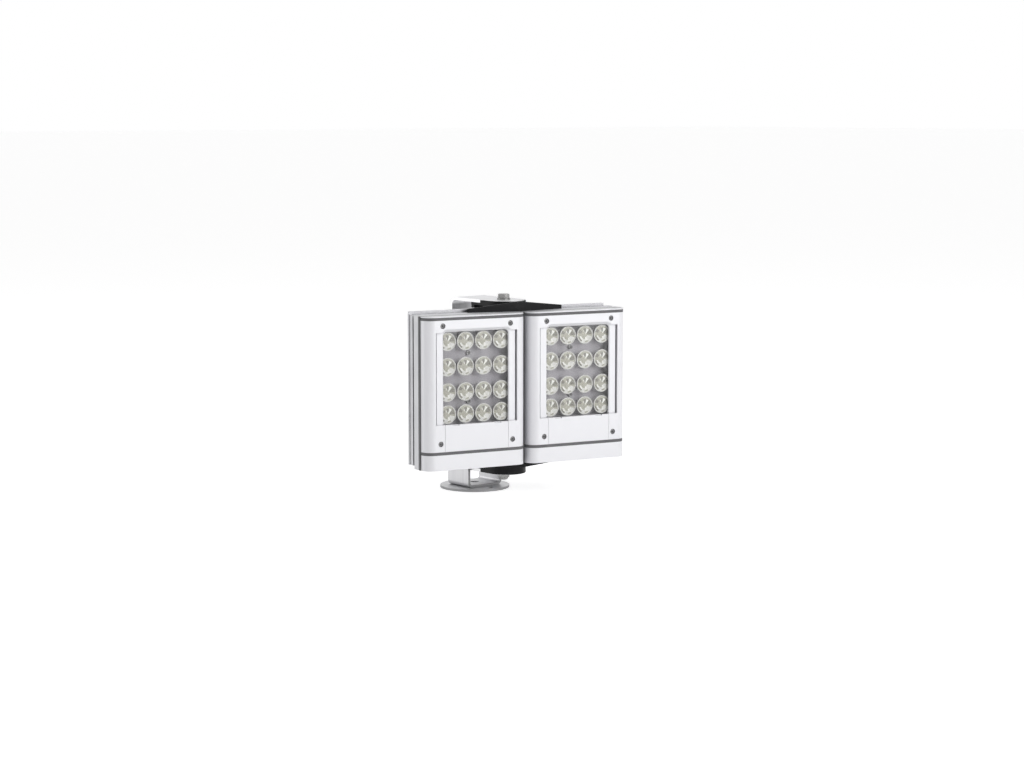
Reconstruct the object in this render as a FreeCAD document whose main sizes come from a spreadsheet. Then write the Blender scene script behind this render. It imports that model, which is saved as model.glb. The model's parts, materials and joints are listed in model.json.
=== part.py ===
import FreeCAD, Part
import math
import os

import Sketcher

# Twin-head led flood light on a stainless bracket.
# Millimetres. The origin is the centre of the foot's underside, Z is up and the lamps face -Y.
# Both heads hang between two wing plates and turn together about the pan axis.
# Each head is drawn in its own frame: x to the right, y from the cover's back edge towards
# the fins, and z from the middle of its height.

os.makedirs("parts", exist_ok=True)
doc = FreeCAD.newDocument("flood_light")

SIZES = {
    # one lamp head
    "head_width": 135.0,
    "head_height": 180.0,
    "head_gap": 1.5,
    "cover_depth": 13.7,
    "corner_radius": 13.0,
    "seal_depth": 4.0,
    "seal_width": 8.0,
    # heat sink section, measured back from the cover's back edge
    "slab_back": 16.5,
    "groove_back": 21.5,
    "rim_step_back": 29.0,
    "rim_back": 33.6,
    "groove_depth": 9.5,
    "rim_step": 1.2,
    "rim_trim": 3.0,
    "fin_back": 53.0,
    "fin_root": 27.5,
    "fin_field": 96.0,
    "fin_thickness": 2.4,
    "fin_count": 13.0,
    "fin_clear_foot": 36.0,
    # stack of caps and seals over and under the front cover
    "top_cap_height": 1.2,
    "top_seal_height": 3.4,
    "lower_seal_height": 3.6,
    "bottom_cap_height": 18.2,
    "bottom_cap_wall": 4.0,
    "bottom_cap_cells": 5.0,
    "cover_inset": 1.2,
    # window of the front cover
    "window_width": 91.4,
    "window_drop": 15.0,
    "window_rise": 53.4,
    "window_radius": 8.0,
    "window_bevel": 3.5,
    "pane_thickness": 2.0,
    "pane_margin": 3.0,
    "pane_clear": 0.2,
    "cavity_depth": 5.5,
    "cavity_margin": 11.5,
    "panel_width": 82.6,
    "panel_clear": 0.2,
    "panel_tick_width": 9.0,
    "panel_tick_height": 1.2,
    "channel_margin": 14.5,
    "channel_depth": 2.2,
    "channel_drop": 19.0,
    "slit_width": 1.7,
    "slit_depth": 5.2,
    # screws of the front cover
    "upper_screw_margin": 23.5,
    "upper_screw_drop": 11.0,
    "lower_screw_margin": 20.5,
    "lower_screw_rise": 31.3,
    "screw_radius": 1.5,
    "screw_head_radius": 2.75,
    "screw_head_height": 2.4,
    "screw_sink_radius": 3.2,
    "screw_sink_depth": 3.4,
    "screw_socket_radius": 1.35,
    "screw_bite": 6.0,
    "screw_clear": 0.1,
    # board with its emitters and lenses
    "board_margin": 13.5,
    "board_drop": 17.0,
    "board_rise": 48.0,
    "board_thickness": 1.6,
    "lens_radius": 10.9,
    "lens_foot_radius": 6.4,
    "lens_height": 10.0,
    "lens_rim_height": 1.5,
    "lens_pitch": 23.4,
    "lens_clear": 0.6,
    "chip_side": 5.0,
    "chip_height": 1.2,
    "wiring_board_width": 70.0,
    "wiring_board_height": 15.0,
    # bottom cap screws
    "cap_screw_margin": 14.5,
    "cap_screw_back": 6.8,
    # cable gland
    "gland_height": 25.0,
    "gland_thread_radius": 8.0,
    "gland_flats": 19.0,
    "gland_flange": 5.0,
    "gland_neck": 9.0,
    "gland_neck_radius": 6.6,
    "gland_bore_radius": 3.2,
    "gland_nut_flats": 17.0,
    "gland_nut_length": 10.5,
    # stainless bracket
    "bracket_gauge": 4.0,
    "bracket_width": 45.4,
    "bracket_bend": 6.0,
    "arm_reach": 75.0,
    "arm_nose": 4.0,
    "leg_back": 19.0,
    "arm_height": 25.1,
    "lug_length": 28.0,
    "bolt_clear": 0.3,
    # pivot pads and wing plates
    "top_pad_thickness": 3.2,
    "bottom_pad_thickness": 10.4,
    "pad_tail": 34.0,
    "pad_lip_back": 15.0,
    "pad_lip": 1.5,
    "pad_lip_height": 3.4,
    "wing_thickness": 4.0,
    "wing_span": 126.0,
    "wing_tip_front": 19.0,
    "wing_tip_back": 24.0,
    "wing_nose": 8.0,
    "flange_gauge": 2.5,
    "flange_nose": 3.5,
    "flange_tip": 0.3,
    "wing_hub_radius": 24.5,
    "pan_back": 50.0,
    "pan_rest": 12.0,
    "wing_screw_back": 24.0,
    "wing_screw_inner": 24.0,
    "wing_screw_outer": 44.0,
    "wing_screw_radius": 2.0,
    "wing_screw_head": 4.6,
    "wing_screw_head_height": 2.4,
    "stop_pin_back": 15.5,
    "stop_pin_radius": 3.0,
    "stop_pin_height": 4.0,
    # foot
    "foot_gauge": 3.0,
    "foot_radius": 42.6,
    "ear_length": 40.0,
    "ear_shoulder": 24.0,
    "ear_top": 14.0,
    "side_clear": 0.3,
    "fold_radius": 3.0,
    "fold_height": 8.0,
    "pivot_height": 41.0,
    "foot_hole_spacing": 62.0,
    "foot_hole_radius": 3.25,
    "foot_bore_radius": 5.25,
    # pivot bolts, nuts and washers
    "bolt_radius": 4.0,
    "bolt_flats": 13.0,
    "bolt_head": 5.3,
    "nut_height": 6.5,
    "washer_radius": 8.0,
    "washer_thickness": 1.6,
    "bolt_tail": 1.0,
}

# Heights of the four lens rows and the two board screws as shares of the board's height.
LENS_ROWS = (0.886957, 0.627826, 0.370435, 0.144348)
LENS_COLUMNS = (-1.5, -0.5, 0.5, 1.5)
BOARD_SCREWS = ((-4.0, 0.756522), (-4.0, 0.26087))
HEX_CORNERS = 6


# Spreadsheet and the lengths read from it

def write_sheet():
    """Keep every driving dimension in one sheet, one row each."""
    cells = doc.addObject("Spreadsheet::Sheet", "Sizes")
    for row, (alias, value) in enumerate(SIZES.items(), start=1):
        cells.set(f"A{row}", alias)
        cells.set(f"B{row}", str(value))
        cells.setAlias(f"B{row}", alias)
    doc.recompute()
    return cells


def number(item):
    """The value of a length or of a plain number."""
    return item.value if isinstance(item, Length) else float(item)


def words(item):
    """The formula of a length or of a plain number."""
    return item.formula if isinstance(item, Length) else f"({float(item)!r})"


class Length:
    """A length: its value now, and the formula that ties it to the sheet."""

    def __init__(self, value, formula):
        self.value = float(value)
        self.formula = formula

    def __add__(self, other):
        return Length(self.value + number(other), f"({self.formula} + {words(other)})")

    def __radd__(self, other):
        return Length(number(other) + self.value, f"({words(other)} + {self.formula})")

    def __sub__(self, other):
        return Length(self.value - number(other), f"({self.formula} - {words(other)})")

    def __rsub__(self, other):
        return Length(number(other) - self.value, f"({words(other)} - {self.formula})")

    def __mul__(self, other):
        return Length(self.value * number(other), f"({self.formula} * {words(other)})")

    def __rmul__(self, other):
        return Length(number(other) * self.value, f"({words(other)} * {self.formula})")

    def __truediv__(self, other):
        return Length(self.value / number(other), f"({self.formula} / {words(other)})")

    def __neg__(self):
        return Length(-self.value, f"(-{self.formula})")


sheet = write_sheet()


class Sizes:
    """Every cell of the sheet as a length."""

    def __getattr__(self, alias):
        return Length(getattr(sheet, alias), f"Sizes.{alias}")


size = Sizes()


def tie(target, path, length):
    """Bind one property to its formula."""
    target.setExpression(path, words(length))


def cosine(angle):
    """Cosine of an angle in degrees."""
    return Length(math.cos(math.radians(angle.value)), f"cos({angle.formula})")


def sine(angle):
    """Sine of an angle in degrees."""
    return Length(math.sin(math.radians(angle.value)), f"sin({angle.formula})")


# Bodies, sketches and features

# The way the sketch normal of each origin plane points along its own axis.
PLANE_SENSE = {"XY_Plane": 1, "XZ_Plane": -1, "YZ_Plane": 1}

sub_parts = []


def new_body(name):
    """A body for one sub-part, which may hold several equal solids."""
    body = doc.addObject("PartDesign::Body", name)
    body.Label = name
    body.AllowCompound = True
    sub_parts.append(body)
    return body


def new_sketch(body, plane, level):
    """A sketch on one origin plane, moved along that plane's axis to a level."""
    sketch = body.newObject("Sketcher::SketchObject", "Outline")
    origin = next(item for item in body.Origin.OriginFeatures if item.Role == plane)
    sketch.AttachmentSupport = [(origin, "")]
    sketch.MapMode = "FlatFace"
    lift = PLANE_SENSE[plane] * level
    sketch.AttachmentOffset = FreeCAD.Placement(FreeCAD.Vector(0, 0, number(lift)), FreeCAD.Rotation())
    tie(sketch, "AttachmentOffset.Base.z", lift)
    return sketch


def constrain(sketch, kind, item, corner, length):
    """Hold one coordinate or radius of the sketch at a length."""
    if kind == "Radius":
        constraint = Sketcher.Constraint(kind, item, number(length))
    else:
        constraint = Sketcher.Constraint(kind, item, corner, number(length))
    index = sketch.addConstraint(constraint)
    if isinstance(length, Length):
        tie(sketch, f"Constraints[{index}]", length)


def fix_point(sketch, item, corner, x, y):
    """Hold a point of the sketch at both of its coordinates."""
    constrain(sketch, "DistanceX", item, corner, x)
    constrain(sketch, "DistanceY", item, corner, y)


def rounding(before, corner, after, radius):
    """Tangent points, centre and turn of an arc that rounds a corner."""
    back = (before - corner).normalize()
    ahead = (after - corner).normalize()
    half = back.getAngle(ahead) / 2
    setback = radius / math.tan(half)
    middle = (back + ahead).normalize()
    centre = corner + middle * (radius / math.sin(half))
    turn = (corner - before).cross(after - corner).z
    return corner + back * setback, corner + ahead * setback, centre, turn


def draw_loop(sketch, corners):
    """A closed outline through the corners, rounded where a corner names a radius."""
    points = [FreeCAD.Vector(number(c[0]), number(c[1]), 0) for c in corners]
    count = len(points)
    starts = []
    ends = []
    arcs = []
    for i, corner in enumerate(corners):
        if len(corner) == 2:
            starts.append(points[i])
            ends.append(points[i])
            arcs.append(None)
            continue
        around = rounding(points[i - 1], points[i], points[(i + 1) % count], number(corner[2]))
        starts.append(around[1])
        ends.append(around[0])
        arcs.append(around)
    lines = [sketch.addGeometry(Part.LineSegment(starts[i], ends[(i + 1) % count])) for i in range(count)]
    for i, corner in enumerate(corners):
        arriving = lines[i - 1]
        leaving = lines[i]
        if arcs[i] is None:
            sketch.addConstraint(Sketcher.Constraint("Coincident", arriving, 2, leaving, 1))
            fix_point(sketch, leaving, 1, corner[0], corner[1])
            continue
        first, last, centre, turn = arcs[i]
        if turn < 0:
            first, last = last, first
        begin = math.atan2(first.y - centre.y, first.x - centre.x)
        finish = math.atan2(last.y - centre.y, last.x - centre.x)
        circle = Part.Circle(centre, FreeCAD.Vector(0, 0, 1), number(corner[2]))
        arc = sketch.addGeometry(Part.ArcOfCircle(circle, begin, finish))
        near, far = (1, 2) if turn > 0 else (2, 1)
        sketch.addConstraint(Sketcher.Constraint("Tangent", arriving, 2, arc, near))
        sketch.addConstraint(Sketcher.Constraint("Tangent", arc, far, leaving, 1))
        mark = sketch.addGeometry(Part.Point(points[i]), True)
        sketch.addConstraint(Sketcher.Constraint("PointOnObject", mark, 1, arriving))
        sketch.addConstraint(Sketcher.Constraint("PointOnObject", mark, 1, leaving))
        fix_point(sketch, mark, 1, corner[0], corner[1])
        constrain(sketch, "Radius", arc, 0, corner[2])


def draw_round(sketch, x, y, radius):
    """A full circle."""
    centre = FreeCAD.Vector(number(x), number(y), 0)
    circle = sketch.addGeometry(Part.Circle(centre, FreeCAD.Vector(0, 0, 1), number(radius)))
    fix_point(sketch, circle, 3, x, y)
    constrain(sketch, "Radius", circle, 0, radius)


def draw(sketch, shapes):
    """Draw loops, given as lists of corners, and circles, given as (x, y, radius)."""
    for shape in shapes:
        if isinstance(shape, list):
            draw_loop(sketch, shape)
        else:
            draw_round(sketch, *shape)


def add_prism(body, plane, start, length, shapes):
    """Add material from a level along the plane's axis."""
    sketch = new_sketch(body, plane, start)
    draw(sketch, shapes)
    feature = body.newObject("PartDesign::Pad", "Pad")
    feature.Profile = sketch
    feature.Reversed = PLANE_SENSE[plane] < 0
    feature.Length = number(length)
    tie(feature, "Length", length)
    return feature


def cut_prism(body, plane, start, length, shapes):
    """Take material away from a level along the plane's axis."""
    sketch = new_sketch(body, plane, start)
    draw(sketch, shapes)
    feature = body.newObject("PartDesign::Pocket", "Pocket")
    feature.Profile = sketch
    feature.Reversed = PLANE_SENSE[plane] > 0
    feature.Length = number(length)
    tie(feature, "Length", length)
    cuts.append(feature)
    return feature


cuts = []


def round_edges(body, radius, pick):
    """Round the edges of the body's last feature that the pick function accepts."""
    doc.recompute()
    base = body.Tip
    names = [f"Edge{i + 1}" for i, edge in enumerate(base.Shape.Edges) if pick(edge)]
    feature = body.newObject("PartDesign::Fillet", "Rounded")
    feature.Base = (base, names)
    feature.Radius = number(radius)
    tie(feature, "Radius", radius)
    return feature


def box_loop(low_x, high_x, low_y, high_y):
    """Four square corners."""
    return [(low_x, low_y), (high_x, low_y), (high_x, high_y), (low_x, high_y)]


def rounded_box(low_x, high_x, low_y, high_y, radius):
    """Four corners of one radius."""
    return [(low_x, low_y, radius), (high_x, low_y, radius), (high_x, high_y, radius), (low_x, high_y, radius)]


def hexagon(x, y, flats):
    """Six corners round a centre, from the width across flats."""
    radius = flats / math.sqrt(3)
    corners = []
    for i in range(HEX_CORNERS):
        angle = math.radians(60 * i)
        corners.append((x + radius * round(math.cos(angle), 9), y + radius * round(math.sin(angle), 9)))
    return corners


def upright(edge, x, y):
    """True for a straight edge along Z that stands at a corner."""
    box = edge.BoundBox
    stands = box.ZLength > 1 and box.XLength < 0.01 and box.YLength < 0.01
    return stands and abs(abs(box.XMin) - number(x)) < 0.05 and abs(box.YMin - number(y)) < 0.05


# Levels and places that several pieces share

pan_y = size.leg_back - size.arm_reach
arm_end = pan_y - size.arm_nose - size.bracket_width / 2
lower_wing_level = size.arm_height + size.bracket_gauge + size.bottom_pad_thickness
head_foot = lower_wing_level + size.wing_thickness
head_middle = head_foot + size.head_height / 2
head_top = head_foot + size.head_height
upper_pad_level = head_top + size.wing_thickness
upper_arm_level = upper_pad_level + size.top_pad_thickness
head_pitch = size.head_width + size.head_gap
half_width = size.head_width / 2
half_height = size.head_height / 2
bolt_hole = size.bolt_radius + size.bolt_clear
ear_inner = size.bracket_width / 2 + size.side_clear
ear_outer = ear_inner + size.foot_gauge

cover_top = half_height - size.top_cap_height - size.top_seal_height
cap_level = size.bottom_cap_height - half_height
cover_foot = cap_level + size.lower_seal_height
cover_height = cover_top - cover_foot
front_face = -size.cover_depth
pane_front = front_face + size.window_bevel
window_top = half_height - size.window_drop
window_bottom = half_height - size.window_rise
channel_top = half_height - size.channel_drop
board_top = half_height - size.board_drop
board_bottom = half_height - size.board_rise
board_height = board_top + board_bottom
upper_screw_level = half_height - size.upper_screw_drop
lower_screw_level = size.lower_screw_rise - half_height
throat_half = size.window_width / 2 - size.window_bevel
room_half = size.lens_pitch * 1.5 + size.lens_radius + size.lens_clear
board_front = size.seal_depth - size.board_thickness
lens_front = board_front - size.lens_height
gland_level = size.gland_height - half_height
cap_screw_reach = half_width - size.cap_screw_margin


def place_plain(body):
    """Leave a piece of the foot or bracket in the row frame."""
    body.Placement = FreeCAD.Placement()


def place_turned(body, sideways, level):
    """Put a piece of the lamp heads in its frame, turned with them about the pan axis."""
    turn = size.pan_rest
    x = cosine(turn) * sideways - sine(turn) * size.pan_back
    y = pan_y - sine(turn) * sideways - cosine(turn) * size.pan_back
    rotation = f"rotation(vector(0; 0; 1); -{words(turn)})"
    body.setExpression("Placement", f"placement(vector({words(x)}; {words(y)}; {words(level)}); {rotation})")


# Foot

def make_foot():
    """Foot: a round plate with a folded channel on it, whose two ears carry the tilt bolt."""
    body = new_body("foot_bracket")
    half = size.ear_length / 2
    gauge = size.foot_gauge
    add_prism(body, "XY_Plane", 0, gauge, [(0, 0, size.foot_radius)])
    fold_top = gauge * 2 + size.fold_height
    channel = [
        (-ear_outer, fold_top),
        (-ear_outer, gauge, size.fold_radius + gauge),
        (ear_outer, gauge, size.fold_radius + gauge),
        (ear_outer, fold_top),
        (ear_inner, fold_top),
        (ear_inner, gauge * 2, size.fold_radius),
        (-ear_inner, gauge * 2, size.fold_radius),
        (-ear_inner, fold_top),
    ]
    add_prism(body, "XZ_Plane", -half, size.ear_length, [channel])
    top = size.pivot_height + size.ear_top
    ear = [
        (-half, fold_top - 1),
        (half, fold_top - 1),
        (half, size.ear_shoulder, 6),
        (size.ear_top, top, size.ear_top * 0.8),
        (-size.ear_top, top, size.ear_top * 0.8),
        (-half, size.ear_shoulder, 6),
    ]
    add_prism(body, "YZ_Plane", -ear_outer, gauge, [ear])
    add_prism(body, "YZ_Plane", ear_inner, gauge, [ear])
    holes = [(0, 0, size.foot_bore_radius)]
    for side in (-1, 1):
        holes.append((0, size.foot_hole_spacing * side / 2, size.foot_hole_radius))
    cut_prism(body, "XY_Plane", -1, gauge * 2 + 2, holes)
    pivot = [(0, size.pivot_height, bolt_hole)]
    cut_prism(body, "YZ_Plane", -ear_outer - 1, ear_outer * 2 + 2, pivot)
    place_plain(body)


def make_tilt_fasteners():
    """Bolt, nut and washers of the tilt pivot, along X through ears and lugs."""
    shank = (0, size.pivot_height, size.bolt_radius)
    washer_face = ear_outer + size.washer_thickness
    bolt = new_body("tilt_bolt")
    head = [hexagon(0, size.pivot_height, size.bolt_flats)]
    reach = washer_face * 2 + size.nut_height + size.bolt_tail
    add_prism(bolt, "YZ_Plane", -washer_face - size.bolt_head, size.bolt_head, head)
    add_prism(bolt, "YZ_Plane", -washer_face, reach, [shank])
    place_plain(bolt)
    nut = new_body("tilt_nut")
    add_prism(nut, "YZ_Plane", washer_face, size.nut_height, head)
    cut_prism(nut, "YZ_Plane", washer_face - 1, size.nut_height + 2, [shank])
    place_plain(nut)
    washers = new_body("tilt_washers")
    ring = [(0, size.pivot_height, size.washer_radius)]
    add_prism(washers, "YZ_Plane", -washer_face, size.washer_thickness, ring)
    add_prism(washers, "YZ_Plane", ear_outer, size.washer_thickness, ring)
    cut_prism(washers, "YZ_Plane", -washer_face - 1, washer_face * 2 + 2, [shank])
    place_plain(washers)


# Bracket

def make_bracket():
    """Bent strip: a tall leg with an arm at each end and two lugs for the tilt bolt."""
    body = new_body("u_bracket")
    half = size.bracket_width / 2
    inner = size.leg_back - size.bracket_gauge
    arm_top = size.arm_height + size.bracket_gauge
    top = upper_arm_level + size.bracket_gauge
    bend = size.bracket_bend
    outer_bend = bend + size.bracket_gauge
    strip = [
        (arm_end, size.arm_height),
        (size.leg_back, size.arm_height, outer_bend),
        (size.leg_back, top, outer_bend),
        (arm_end, top),
        (arm_end, upper_arm_level),
        (inner, upper_arm_level, bend),
        (inner, arm_top, bend),
        (arm_end, arm_top),
    ]
    add_prism(body, "YZ_Plane", -half, size.bracket_width, [strip])
    round_edges(body, half - 0.05, lambda edge: upright(edge, half, arm_end))
    lug_top = size.pivot_height + size.ear_top
    lug_half = size.lug_length / 2
    lug = [
        (-lug_half, size.arm_height + size.bracket_gauge / 2),
        (lug_half, size.arm_height + size.bracket_gauge / 2),
        (lug_half, lug_top, lug_half - 0.1),
        (-lug_half, lug_top, lug_half - 0.1),
    ]
    add_prism(body, "YZ_Plane", -half, size.bracket_gauge, [lug])
    add_prism(body, "YZ_Plane", half - size.bracket_gauge, size.bracket_gauge, [lug])
    cut_prism(body, "YZ_Plane", -half - 1, size.bracket_width + 2, [(0, size.pivot_height, bolt_hole)])
    cut_prism(body, "XY_Plane", 0, top + 1, [(0, pan_y, bolt_hole)])
    place_plain(body)


def make_pad(name, level, thickness, arm_level, lip_level):
    """Pivot pad: a plate between arm and wing whose lips wrap the round end of the arm."""
    body = new_body(name)
    half = size.bracket_width / 2
    tail = pan_y + size.pad_tail
    lip_back = pan_y + size.pad_lip_back
    outer = half + size.pad_lip
    end = arm_end - size.pad_lip
    low = lip_level if lip_level.value < level.value else level
    lipped = [(-outer, lip_back), (-outer, end, outer - 0.05), (outer, end, outer - 0.05), (outer, lip_back)]
    add_prism(body, "XY_Plane", low, thickness + size.pad_lip_height, [lipped])
    seat_half = half + size.screw_clear
    seat_end = arm_end - size.screw_clear
    seat = [
        (-seat_half, lip_back + 1),
        (-seat_half, seat_end, seat_half - 0.05),
        (seat_half, seat_end, seat_half - 0.05),
        (seat_half, lip_back + 1),
    ]
    cut_prism(body, "XY_Plane", arm_level, size.bracket_gauge, [seat])
    add_prism(body, "XY_Plane", level, thickness, [box_loop(-half, half, lip_back - 2, tail)])
    cut_prism(body, "XY_Plane", level - 1, thickness + 2, [(0, pan_y, bolt_hole)])
    place_plain(body)


def make_pads():
    """One pivot pad under the upper arm and one on the lower arm."""
    top = size.top_pad_thickness
    make_pad("top_pivot_pad", upper_pad_level, top, upper_arm_level, upper_pad_level)
    arm_top = size.arm_height + size.bracket_gauge
    bottom = size.bottom_pad_thickness
    make_pad("bottom_pivot_pad", arm_top, bottom, size.arm_height, arm_top - size.pad_lip_height)


def make_pan_fasteners():
    """Bolts, nuts and washers of the pan pivot, above and below the lamp heads."""
    shank = (0, pan_y, size.bolt_radius)
    head = [hexagon(0, pan_y, size.bolt_flats)]
    washer = size.washer_thickness
    arm_top = upper_arm_level + size.bracket_gauge
    top_seat = arm_top + washer
    top_nut = head_top - washer - size.nut_height
    bolt = new_body("top_pan_bolt")
    add_prism(bolt, "XY_Plane", top_seat, size.bolt_head, head)
    start = top_nut - size.bolt_tail
    add_prism(bolt, "XY_Plane", start, top_seat - start, [shank])
    place_plain(bolt)
    low_seat = head_foot + washer
    low_nut = size.arm_height - washer - size.nut_height
    bolt = new_body("bottom_pan_bolt")
    add_prism(bolt, "XY_Plane", low_seat, size.bolt_head, head)
    start = low_nut - size.bolt_tail
    add_prism(bolt, "XY_Plane", start, low_seat - start, [shank])
    place_plain(bolt)
    nuts = new_body("pan_nuts")
    for level in (top_nut, low_nut):
        add_prism(nuts, "XY_Plane", level, size.nut_height, head)
    cut_prism(nuts, "XY_Plane", 0, head_top, [shank])
    place_plain(nuts)
    washers = new_body("pan_washers")
    ring = [(0, pan_y, size.washer_radius)]
    for level in (arm_top, head_top - washer, head_foot, size.arm_height - washer):
        add_prism(washers, "XY_Plane", level, washer, ring)
    cut_prism(washers, "XY_Plane", 0, top_seat + 1, [shank])
    place_plain(washers)


# Wing plates that join the two heads

def wing_outline():
    """Boomerang outline: two tips in front and a round hub on the pan axis."""
    tip = size.wing_span / 2
    hub = size.wing_hub_radius
    back = size.pan_back + hub
    return [
        (-tip, size.wing_tip_front, 1.5),
        (0, size.wing_nose, 12),
        (tip, size.wing_tip_front, 1.5),
        (tip, size.wing_tip_back, 1.5),
        (hub, size.pan_back),
        (hub, back, hub - 0.1),
        (-hub, back, hub - 0.1),
        (-hub, size.pan_back),
        (-tip, size.wing_tip_back, 1.5),
    ]


def add_flange(wing, upward):
    """Low flange along both front edges of a wing, highest at the nose and away from the heads."""
    tip = size.wing_span / 2 - 1
    slope = (size.wing_tip_front - size.wing_nose) / (size.wing_span / 2)
    nose = size.wing_nose + slope * 6
    end = size.wing_nose + slope * tip
    base = size.wing_thickness if upward else -size.flange_nose
    strip = [
        (-tip, end),
        (-6, nose),
        (6, nose),
        (tip, end),
        (tip, end + size.flange_gauge),
        (6, nose + size.flange_gauge),
        (-6, nose + size.flange_gauge),
        (-tip, end + size.flange_gauge),
    ]
    add_prism(wing, "XY_Plane", base, size.flange_nose, [strip])
    edge = size.wing_thickness + size.flange_nose if upward else -size.flange_nose
    low = size.wing_thickness + size.flange_tip if upward else -size.flange_tip
    beyond = edge + 1 if upward else edge - 1
    wedges = []
    for way in (-1, 1):
        wedges.append([(6 * way, edge), (tip * way, low), ((tip + 2) * way, low), ((tip + 2) * way, beyond),
                       (6 * way, beyond)])
    cut_prism(wing, "XZ_Plane", 0, size.wing_tip_back + 10, wedges)


def wing_screw_places():
    """Centres of the four screws of one wing, two into each head."""
    places = []
    for reach in (size.wing_screw_inner, size.wing_screw_outer):
        for side in (-1, 1):
            places.append((reach * side, size.wing_screw_back))
    return places


def make_wings():
    """Upper and lower wing plates with their screws and stop pins."""
    hole = size.wing_screw_radius + size.screw_clear
    for name, level in (("top_wing_plate", head_top), ("bottom_wing_plate", lower_wing_level)):
        wing = new_body(name)
        add_prism(wing, "XY_Plane", 0, size.wing_thickness, [wing_outline()])
        add_flange(wing, name.startswith("top"))
        holes = [(0, size.pan_back, bolt_hole), (0, size.stop_pin_back, hole)]
        holes += [(x, y, hole) for x, y in wing_screw_places()]
        cut_prism(wing, "XY_Plane", -1, size.wing_thickness + 2, holes)
        place_turned(wing, 0, level)
    screws = new_body("wing_screws")
    heads = [(x, y, size.wing_screw_head) for x, y in wing_screw_places()]
    shanks = [(x, y, size.wing_screw_radius) for x, y in wing_screw_places()]
    reach = size.wing_thickness + size.screw_bite
    top = head_top + size.wing_thickness - lower_wing_level
    add_prism(screws, "XY_Plane", -size.wing_screw_head_height, size.wing_screw_head_height, heads)
    add_prism(screws, "XY_Plane", 0, reach, shanks)
    add_prism(screws, "XY_Plane", top - reach, reach, shanks)
    add_prism(screws, "XY_Plane", top, size.wing_screw_head_height, heads)
    place_turned(screws, 0, lower_wing_level)
    pins = new_body("wing_stop_pins")
    pin = [(0, size.stop_pin_back, size.stop_pin_radius)]
    stem = [(0, size.stop_pin_back, size.wing_screw_radius)]
    add_prism(pins, "XY_Plane", -size.stop_pin_height, size.stop_pin_height, pin)
    add_prism(pins, "XY_Plane", 0, size.wing_thickness, stem)
    add_prism(pins, "XY_Plane", top - size.wing_thickness, size.wing_thickness, stem)
    add_prism(pins, "XY_Plane", top, size.stop_pin_height, pin)
    place_turned(pins, 0, lower_wing_level)


# One lamp head

def cover_outline(inset):
    """Plan of the front cover and of its caps and seals, with two round front corners."""
    side = half_width - size.cover_inset - inset
    front = front_face + inset
    radius = size.corner_radius - inset
    return [(-side, -inset), (-side, front, radius), (side, front, radius), (side, -inset)]


def make_heat_sink(name, side):
    """Extruded heat sink: slab, side grooves, stepped rim and a field of upright fins."""
    body = new_body(f"{name}_heat_sink")
    neck = half_width - size.groove_depth
    step = half_width - size.rim_step
    section = [
        (-half_width, size.seal_depth),
        (half_width, size.seal_depth),
        (half_width, size.slab_back, 1),
        (neck, size.slab_back),
        (neck, size.groove_back),
        (step, size.groove_back),
        (step, size.rim_step_back),
        (half_width, size.rim_step_back),
        (half_width, size.rim_back, 2),
        (-half_width, size.rim_back, 2),
        (-half_width, size.rim_step_back),
        (-step, size.rim_step_back),
        (-step, size.groove_back),
        (-neck, size.groove_back),
        (-neck, size.slab_back),
        (-half_width, size.slab_back, 1),
    ]
    add_prism(body, "XY_Plane", -half_height, size.head_height, [section])
    field = size.fin_field / 2
    fins_foot = size.fin_clear_foot - half_height
    block = box_loop(-field, field, size.rim_back - 1, size.fin_back)
    add_prism(body, "XY_Plane", fins_foot, size.head_height - size.fin_clear_foot, [block])
    pitch = (size.fin_field - size.fin_thickness) / (size.fin_count - 1)
    first = -field + size.fin_thickness
    slot = [box_loop(first, first + pitch - size.fin_thickness, size.fin_root, size.fin_back + 1)]
    pocket = cut_prism(body, "XY_Plane", fins_foot, size.head_height - size.fin_clear_foot + 1, slot)
    pattern = body.newObject("PartDesign::LinearPattern", "FinSlots")
    pattern.Originals = [pocket]
    pattern.Direction = (pocket.Profile[0], ["H_Axis"])
    tie(pattern, "Length", pitch * (size.fin_count - 2))
    tie(pattern, "Occurrences", size.fin_count - 1)
    body.Tip = pattern
    trim = []
    for way in (-1, 1):
        outer = (half_width + 1) * way
        inner = neck * way
        low, high = (outer, inner) if way < 0 else (inner, outer)
        trim.append(box_loop(low, high, size.groove_back, size.rim_back + 1))
    cut_prism(body, "XY_Plane", -half_height - 1, size.rim_trim + 1, trim)
    hole = size.screw_radius + size.screw_clear
    holes = [(x, z, hole) for x, z in cover_screw_places()]
    holes += [(x, z, hole) for x, z in board_screw_places()]
    cut_prism(body, "XZ_Plane", size.seal_depth - 1, size.screw_bite + 2, holes)
    gland = [(0, gland_level, size.gland_thread_radius + size.screw_clear)]
    cut_prism(body, "XZ_Plane", size.seal_depth + size.screw_bite, size.rim_back, gland)
    wing_hole = size.wing_screw_radius + size.screw_clear
    sinks = []
    for x, y in wing_screw_places()[side > 0::2]:
        sinks.append((x - head_pitch * side / 2, y, wing_hole))
    depth = size.screw_bite + 1
    cut_prism(body, "XY_Plane", -half_height - 1, depth + 1, sinks)
    cut_prism(body, "XY_Plane", half_height - depth, depth + 1, sinks)
    return body


def cover_screw_places():
    """Centres of the four screws that hold the front cover."""
    places = []
    for way in (-1, 1):
        places.append(((half_width - size.upper_screw_margin) * way, upper_screw_level))
        places.append(((half_width - size.lower_screw_margin) * way, lower_screw_level))
    return places


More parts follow.
